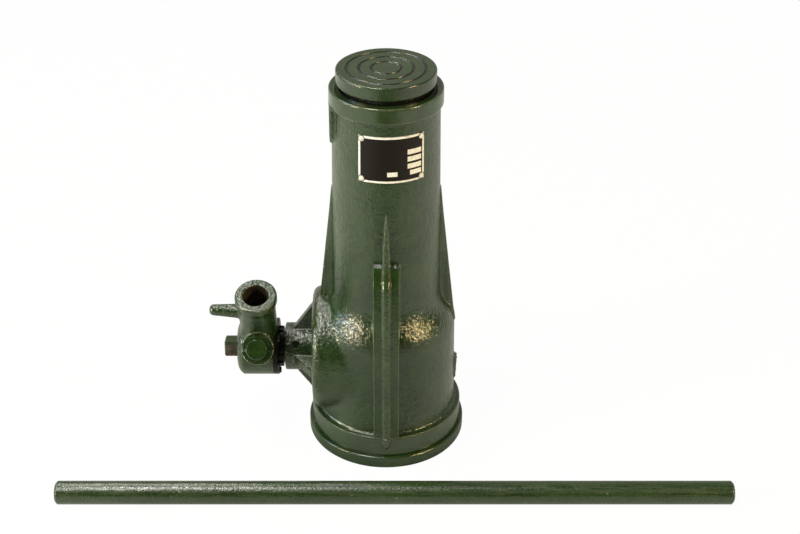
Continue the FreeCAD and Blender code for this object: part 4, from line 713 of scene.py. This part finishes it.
dullSteel = metal("dullSteel", (0.20, 0.19, 0.17), (0.055, 0.048, 0.04), 0.34)
brightSteel = metal("brightSteel", (0.52, 0.52, 0.50), (0.3, 0.29, 0.27), 0.22)
bronze = metal("bronze", (0.62, 0.42, 0.19), (0.40, 0.25, 0.10), 0.28)
springSteel = metal("springSteel", (0.22, 0.23, 0.25), (0.10, 0.10, 0.11), 0.25)
dress(dullSteel, "cover_screws", "base_screws", "wheel_pin", "pawl_plunger")
dress(brightSteel, "bearing_race_lower", "bearing_race_upper", "bearing_balls", "lifting_screw", "bevel_gear")
dress(brightSteel, "bevel_pinion", "pinion_pin", "gear_key", "nut_screws", "knob_pin")
dress(bronze, "tail_bush", "shaft_bush", "lifting_nut", "ball_cage")
dress(springSteel, "pawl_spring", "tail_ring", "saddle_ring")

coil = {"turns": 3.0, "radius": 0.0041, "wire": 0.0004, "stroke": 0.003, "steps": 180, "sides": 12}


# the wire's circle carried along a helix on the pawl's axis, from the plunger to the front of its bore
def pawlCoil():
    base, along = (np.array(value) for value in pawlLine)
    run = (readField(nodes["pawl_spring"].data.vertices, "co", 3) - base) @ along
    foot, top = run.min(), run.max()
    east = np.array((1.0, 0.0, 0.0))
    beside = np.cross(along, east)
    share = np.linspace(0.0, 1.0, coil["steps"])[:, None, None]
    turn = share * coil["turns"] * 2 * math.pi
    outer = np.cos(turn) * east + np.sin(turn) * beside
    rise = foot + coil["wire"] + share * (top - foot - 2 * coil["wire"])
    across = (np.arange(coil["sides"]) * 2 * math.pi / coil["sides"])[None, :, None]
    section = coil["wire"] * (np.cos(across) * outer + np.sin(across) * along)
    points = base + rise * along + coil["radius"] * outer + section
    index = np.arange(coil["steps"] * coil["sides"]).reshape(coil["steps"], coil["sides"])
    beyond = np.roll(index, -1, 1)
    faces = np.stack([index[:-1], index[1:], beyond[1:], beyond[:-1]], 2).reshape(-1, 4).tolist()
    faces += [index[0].tolist(), index[-1][::-1].tolist()]  # flat ends
    mesh = bpy.data.meshes.new("pawlCoil")
    mesh.from_pydata(points.reshape(-1, 3).tolist(), [], faces)
    piece = newPiece("pawlCoil", mesh)
    settle(piece, springSteel, "rocker", "pawl_spring")
    tuple(base + along * top)
    1 - coil["stroke"] / (top - foot)
    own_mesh(piece)


pawlCoil()

coating = {
    "cloud": 210.0, "patches": (0.36, 0.66), "grit": 600.0, "relief": 0.00012, "edge": 0.0003,
    "spread": 0.25,
}


# oily, painted or tinned surface between two colours; over lays another colour on part of it
def coated(name, low, high, rough, gleam=0.5, over=None):
    coat = Finish(name)
    place = coat.place()
    cloud = coat.noise(place, coating["cloud"], detail=4.0, rough=0.6)
    grit = coat.noise(place, coating["grit"])
    colour = coat.tint(coat.step(cloud, *coating["patches"]), low, high)
    if over:
        colour = over(coat, coat.parts(place), cloud, colour)
    coat.feed("Base Color", colour)
    coat.feed("Roughness", rough + coating["spread"] * grit)
    coat.feed("Specular IOR Level", gleam)
    coat.relief(grit, coating["relief"], coating["edge"])
    return coat


square = {"wave": 0.0012, "top": (0.0703, 0.0709), "end": (-0.1065, -0.1069)}


def paintedSquare(coat, spot, cloud, bare):  # paint left on the top of the shaft's square
    x, y, z = spot
    painted = coat.step(z + square["wave"] * cloud, *square["top"]) * coat.step(x, *square["end"])
    return coat.tint(painted, bare, enamel["light"])


# painted shade on the top of the sleeve, under the saddle's overhang
sleeve = {"wave": 0.0015, "sleeveShadeFrom": (0.2655, 0.2668), "sleeveShade": (0.006, 0.007, 0.005)}


def shadedEnd(coat, spot, cloud, steel):  # ground steel, with painted shade: black and not metallic where it sits under the saddle
    dark = coat.step(spot[2] + sleeve["wave"] * cloud, *sleeve["sleeveShadeFrom"])
    coat.feed("Metallic", 1.0 - dark)
    return coat.tint(dark, steel, sleeve["sleeveShade"])


blackGrease = coated("blackGrease", (0.0035, 0.0036, 0.003), (0.014, 0.014, 0.011), 0.25, 0.18)
paleTin = coated("paleTin", (0.66, 0.64, 0.60), (0.90, 0.90, 0.90), 0.3)
brownSteel = coated("brownSteel", (0.030, 0.025, 0.016), (0.085, 0.072, 0.048), 0.34, over=paintedSquare)
sleeveWithPaintedShade = coated("sleeveWithPaintedShade", (0.40, 0.39, 0.37), (0.48, 0.47, 0.45), 0.16, over=shadedEnd)
dress(blackGrease, "ratchet_wheel", "rocker_cover", "bush_screw")
dress(paleTin, "name_plate_rivets")
dress(brownSteel, "pinion_shaft")
dress(sleeveWithPaintedShade, "lifting_sleeve")

label = {  # metres, and degrees round the neck
    "low": 0.2162, "high": 0.2482, "first": -29.2, "last": 41.4, "radius": 0.0357,
    "frame": (-0.0014, -0.0013), "rivet": (0.0199, 0.0140), "rivetShadow": (0.0022, 0.0024),
    "fields": [  # blank fields: from, to, middle height and height, from the plate's middle
        (0.0099, 0.0197, 0.0048, 0.0034), (0.0099, 0.0197, -0.0001, 0.0034),
        (0.0099, 0.0197, -0.0051, 0.0034), (0.0116, 0.0197, -0.0097, 0.0032),
        (-0.0032, 0.0033, -0.0099, 0.0031),
    ],
    "fieldEdge": (0.00008, -0.00008), "scuffs": 700.0, "scuffed": (0.35, 0.6),
    "black": (0.006, 0.005, 0.005), "scuffedBlack": (0.014, 0.011, 0.010),
    "scuffedPale": (0.72, 0.73, 0.74), "pale": (0.88, 0.90, 0.93),
    "rough": 0.30, "spread": 0.16, "specular": 0.25, "relief": 0.00006, "sunk": 0.5,
}


# black plate with a pale frame and blank fields; the angle round the neck times the radius is the width
def labelPlate():
    plate = Finish("blackPlate")
    place = plate.place()
    x, y, z = plate.parts(place)
    half = math.radians(label["last"] - label["first"]) / 2 * label["radius"]
    middle = math.radians(label["last"] + label["first"]) / 2
    across = (x.angle(-y) - middle) * label["radius"]
    up = z - (label["low"] + label["high"]) / 2
    tall = (label["high"] - label["low"]) / 2
    edge = (abs(across) - half).most(abs(up) - tall)  # distance from the edge, negative inside
    white = plate.step(edge, *label["frame"])
    side, rise = label["rivet"]
    head = ((abs(across) - side) ** 2.0 + (abs(up) - rise) ** 2.0).root()
    white = white * plate.step(head, *label["rivetShadow"])  # painted shadow: the pale frame is left black round the rivet heads
    for left, right, level, high in label["fields"]:
        gap = (abs(across - (left + right) / 2) - (right - left) / 2).most(abs(up - level) - high / 2)
        white = white.most(plate.step(gap, *label["fieldEdge"]))
    scuff = plate.noise(place, label["scuffs"], detail=3.0)
    black = plate.tint(scuff, label["black"], label["scuffedBlack"])
    pale = plate.tint(plate.step(scuff, *label["scuffed"]), label["scuffedPale"], label["pale"])
    plate.feed("Base Color", plate.tint(white, black, pale))
    plate.feed("Roughness", label["rough"] + label["spread"] * scuff)
    plate.feed("Specular IOR Level", label["specular"])
    plate.relief(scuff - white * label["sunk"], label["relief"])
    return plate


dress(labelPlate(), "name_plate")
print("finishes on the CAD nodes")

camera = {
    "lens": 64.8, "sensor": 36.0, "place": (0.0, -0.84564, 0.64936), "pitch": 58.526, "shift": 0.01725,
    "near": 0.01, "far": 100.0,
}
eye = bpy.data.objects.new("photoCamera", bpy.data.cameras.new("photoCamera"))
eye.data.lens = camera["lens"]
eye.data.sensor_width = camera["sensor"]
eye.data.shift_x = camera["shift"]
eye.data.clip_start = camera["near"]
eye.data.clip_end = camera["far"]
eye.location = camera["place"]
eye.rotation_euler = (math.radians(camera["pitch"]), 0.0, 0.0)
scene.collection.objects.link(eye)
scene.camera = eye

studio = {
    "middle": 0.12,  # height that the lamps aim at
    "lamps": [  # name, azimuth from the front, elevation, distance, side of the square, power, colour
        ("leftBox", -64.0, 18.0, 1.7, 0.30, 19.0, (1.0, 0.86, 0.58)),
        ("windowBox", -84.0, 16.0, 1.7, 0.30, 8.0, (0.62, 0.84, 1.0)),
        ("rightBox", 60.0, 22.0, 1.7, 0.30, 19.0, (1.0, 0.76, 0.38)),
        ("topBox", -68.0, 72.5, 1.9, 0.34, 12.5, (1.0, 0.98, 0.90)),
        ("frontBox", -38.0, 63.0, 1.9, 0.40, 7.0, (1.0, 0.98, 0.90)),
        ("backBox", -150.0, 56.0, 1.9, 0.6, 9.0, (1.0, 0.98, 0.90)),
    ],
    "warm": (1.0, 1.0, 0.84),  # tint of what the paint mirrors
    "white": (1.0, 1.0, 1.0),
}


def aim(azimuth, elevation, distance):  # point on a sphere round the middle of the jack
    a = math.radians(azimuth)
    e = math.radians(elevation)
    out = distance * math.cos(e)
    return (out * math.sin(a), -out * math.cos(a), studio["middle"] + distance * math.sin(e))


for name, azimuth, elevation, distance, size, power, colour in studio["lamps"]:
    data = bpy.data.lights.new(name, "AREA")
    data.shape = "RECTANGLE"
    data.size = size
    data.size_y = size
    data.energy = power
    data.color = colour
    lamp = bpy.data.objects.new(name, data)
    lamp.location = aim(azimuth, elevation, distance)
    away = lamp.location.copy()
    away.z -= studio["middle"]
    lamp.rotation_euler = away.to_track_quat("Z", "Y").to_euler()
    scene.collection.objects.link(lamp)

# the camera sees white paper with the jack's shadow; the paint mirrors paper that glows with painted light
# and shade: brighter pools to the left and right, darker in front and far off, and a painted contact shadow
# close round the jack
sheet = {
    "half": 6.0, "white": 0.97, "colour": (0.86, 0.86, 0.86), "rough": 0.9, "level": 0.56,
    "left": (0.10, 0.30), "leftLightPool": 0.42, "right": (0.15, 0.40), "rightLightPool": 0.22,
    "front": (0.20, 0.52), "frontHalf": (0.10, 0.25), "frontShadeLoss": 0.62,
    "far": (0.40, 0.90), "farShadeLoss": 0.75, "close": (0.055, 0.075), "contactShadowLoss": 0.55,
}
half = sheet["half"]
corners = [(-half, -half, 0), (half, -half, 0), (half, half, 0), (-half, half, 0)]
ground = bpy.data.meshes.new("floor")
ground.from_pydata(corners, [], [(0, 1, 2, 3)])
floor = bpy.data.objects.new("floor", ground)
scene.collection.objects.link(floor)
paper = Finish("palePaper")
seen = paper.ray("Camera")
mirrored = paper.ray("Glossy")
east, north = paper.parts(paper.place())[:2]
# painted pools of light on the mirrored paper, to the left and right
wide = paper.step(-east, *sheet["left"]) * sheet["leftLightPool"]
wide = wide + paper.step(east, *sheet["right"]) * sheet["rightLightPool"]
# painted shade on the mirrored paper, in front and far off
front = paper.step(-north, *sheet["front"]) * (1.0 - paper.step(abs(east), *sheet["frontHalf"]))
far = paper.step(-north, *sheet["far"])
# painted contact shadow on the mirrored paper, close round the jack's foot
close = paper.step((east * east + north * north).root(), *sheet["close"])
level = (sheet["level"] + wide) * (1.0 - sheet["frontShadeLoss"] * front) * (1.0 - sheet["farShadeLoss"] * far)
level = level * ((1.0 - sheet["contactShadowLoss"]) + sheet["contactShadowLoss"] * close)
tone = paper.tint(seen, studio["warm"], studio["white"])
glow = paper.add("Emission", None, {"Color": tone, "Strength": seen + mirrored * level})
paper.owner.cycles.emission_sampling = "NONE"
paper.feed("Base Color", sheet["colour"])
paper.feed("Roughness", sheet["rough"])
paper.feed("Specular IOR Level", 0.0)
plain = Wire(paper.tree, paper.shader.outputs[0])
share = (seen * sheet["white"]).most(mirrored)
mixed = paper.add("MixShader", None, {0: share, 1: plain, 2: glow})
paper.put(paper.tree.nodes["Material Output"].inputs["Surface"], mixed)
ground.materials.append(paper.owner)

# the camera sees white; the paint mirrors white behind the jack, a dim ceiling over the camera, and dark
backdrop = {
    "dark": 0.025, "rear": (-0.15, 0.5), "rearGain": 0.36, "overhead": (0.6, 0.95), "overheadLoss": 0.5,
    "ahead": (0.35, 0.55), "ceiling": (0.60, 0.72), "ceilingGain": 0.30, "ambient": 0.085,
}
scene.world = bpy.data.worlds.new("studioWorld")
sky = Finish("studioWorld", scene.world)
shown = sky.ray("Camera").most(sky.ray("Transmission"))
glossy = sky.ray("Glossy")
northward, upward = sky.parts(sky.add("TexCoord", out="Generated"))[1:]
rear = sky.step(northward, *backdrop["rear"])
overhead = sky.step(upward, *backdrop["overhead"])
ceiling = sky.step(-northward, *backdrop["ahead"]) * sky.step(upward, *backdrop["ceiling"])
mirror = backdrop["dark"] + backdrop["rearGain"] * rear * (1.0 - backdrop["overheadLoss"] * overhead)
mirror = mirror + backdrop["ceilingGain"] * ceiling
lit = glossy * mirror + (1.0 - glossy) * backdrop["ambient"]
sky.feed("Color", sky.tint(shown, studio["warm"], studio["white"]))
sky.feed("Strength", shown + (1.0 - shown) * lit)
print("camera, lamps, floor and world")
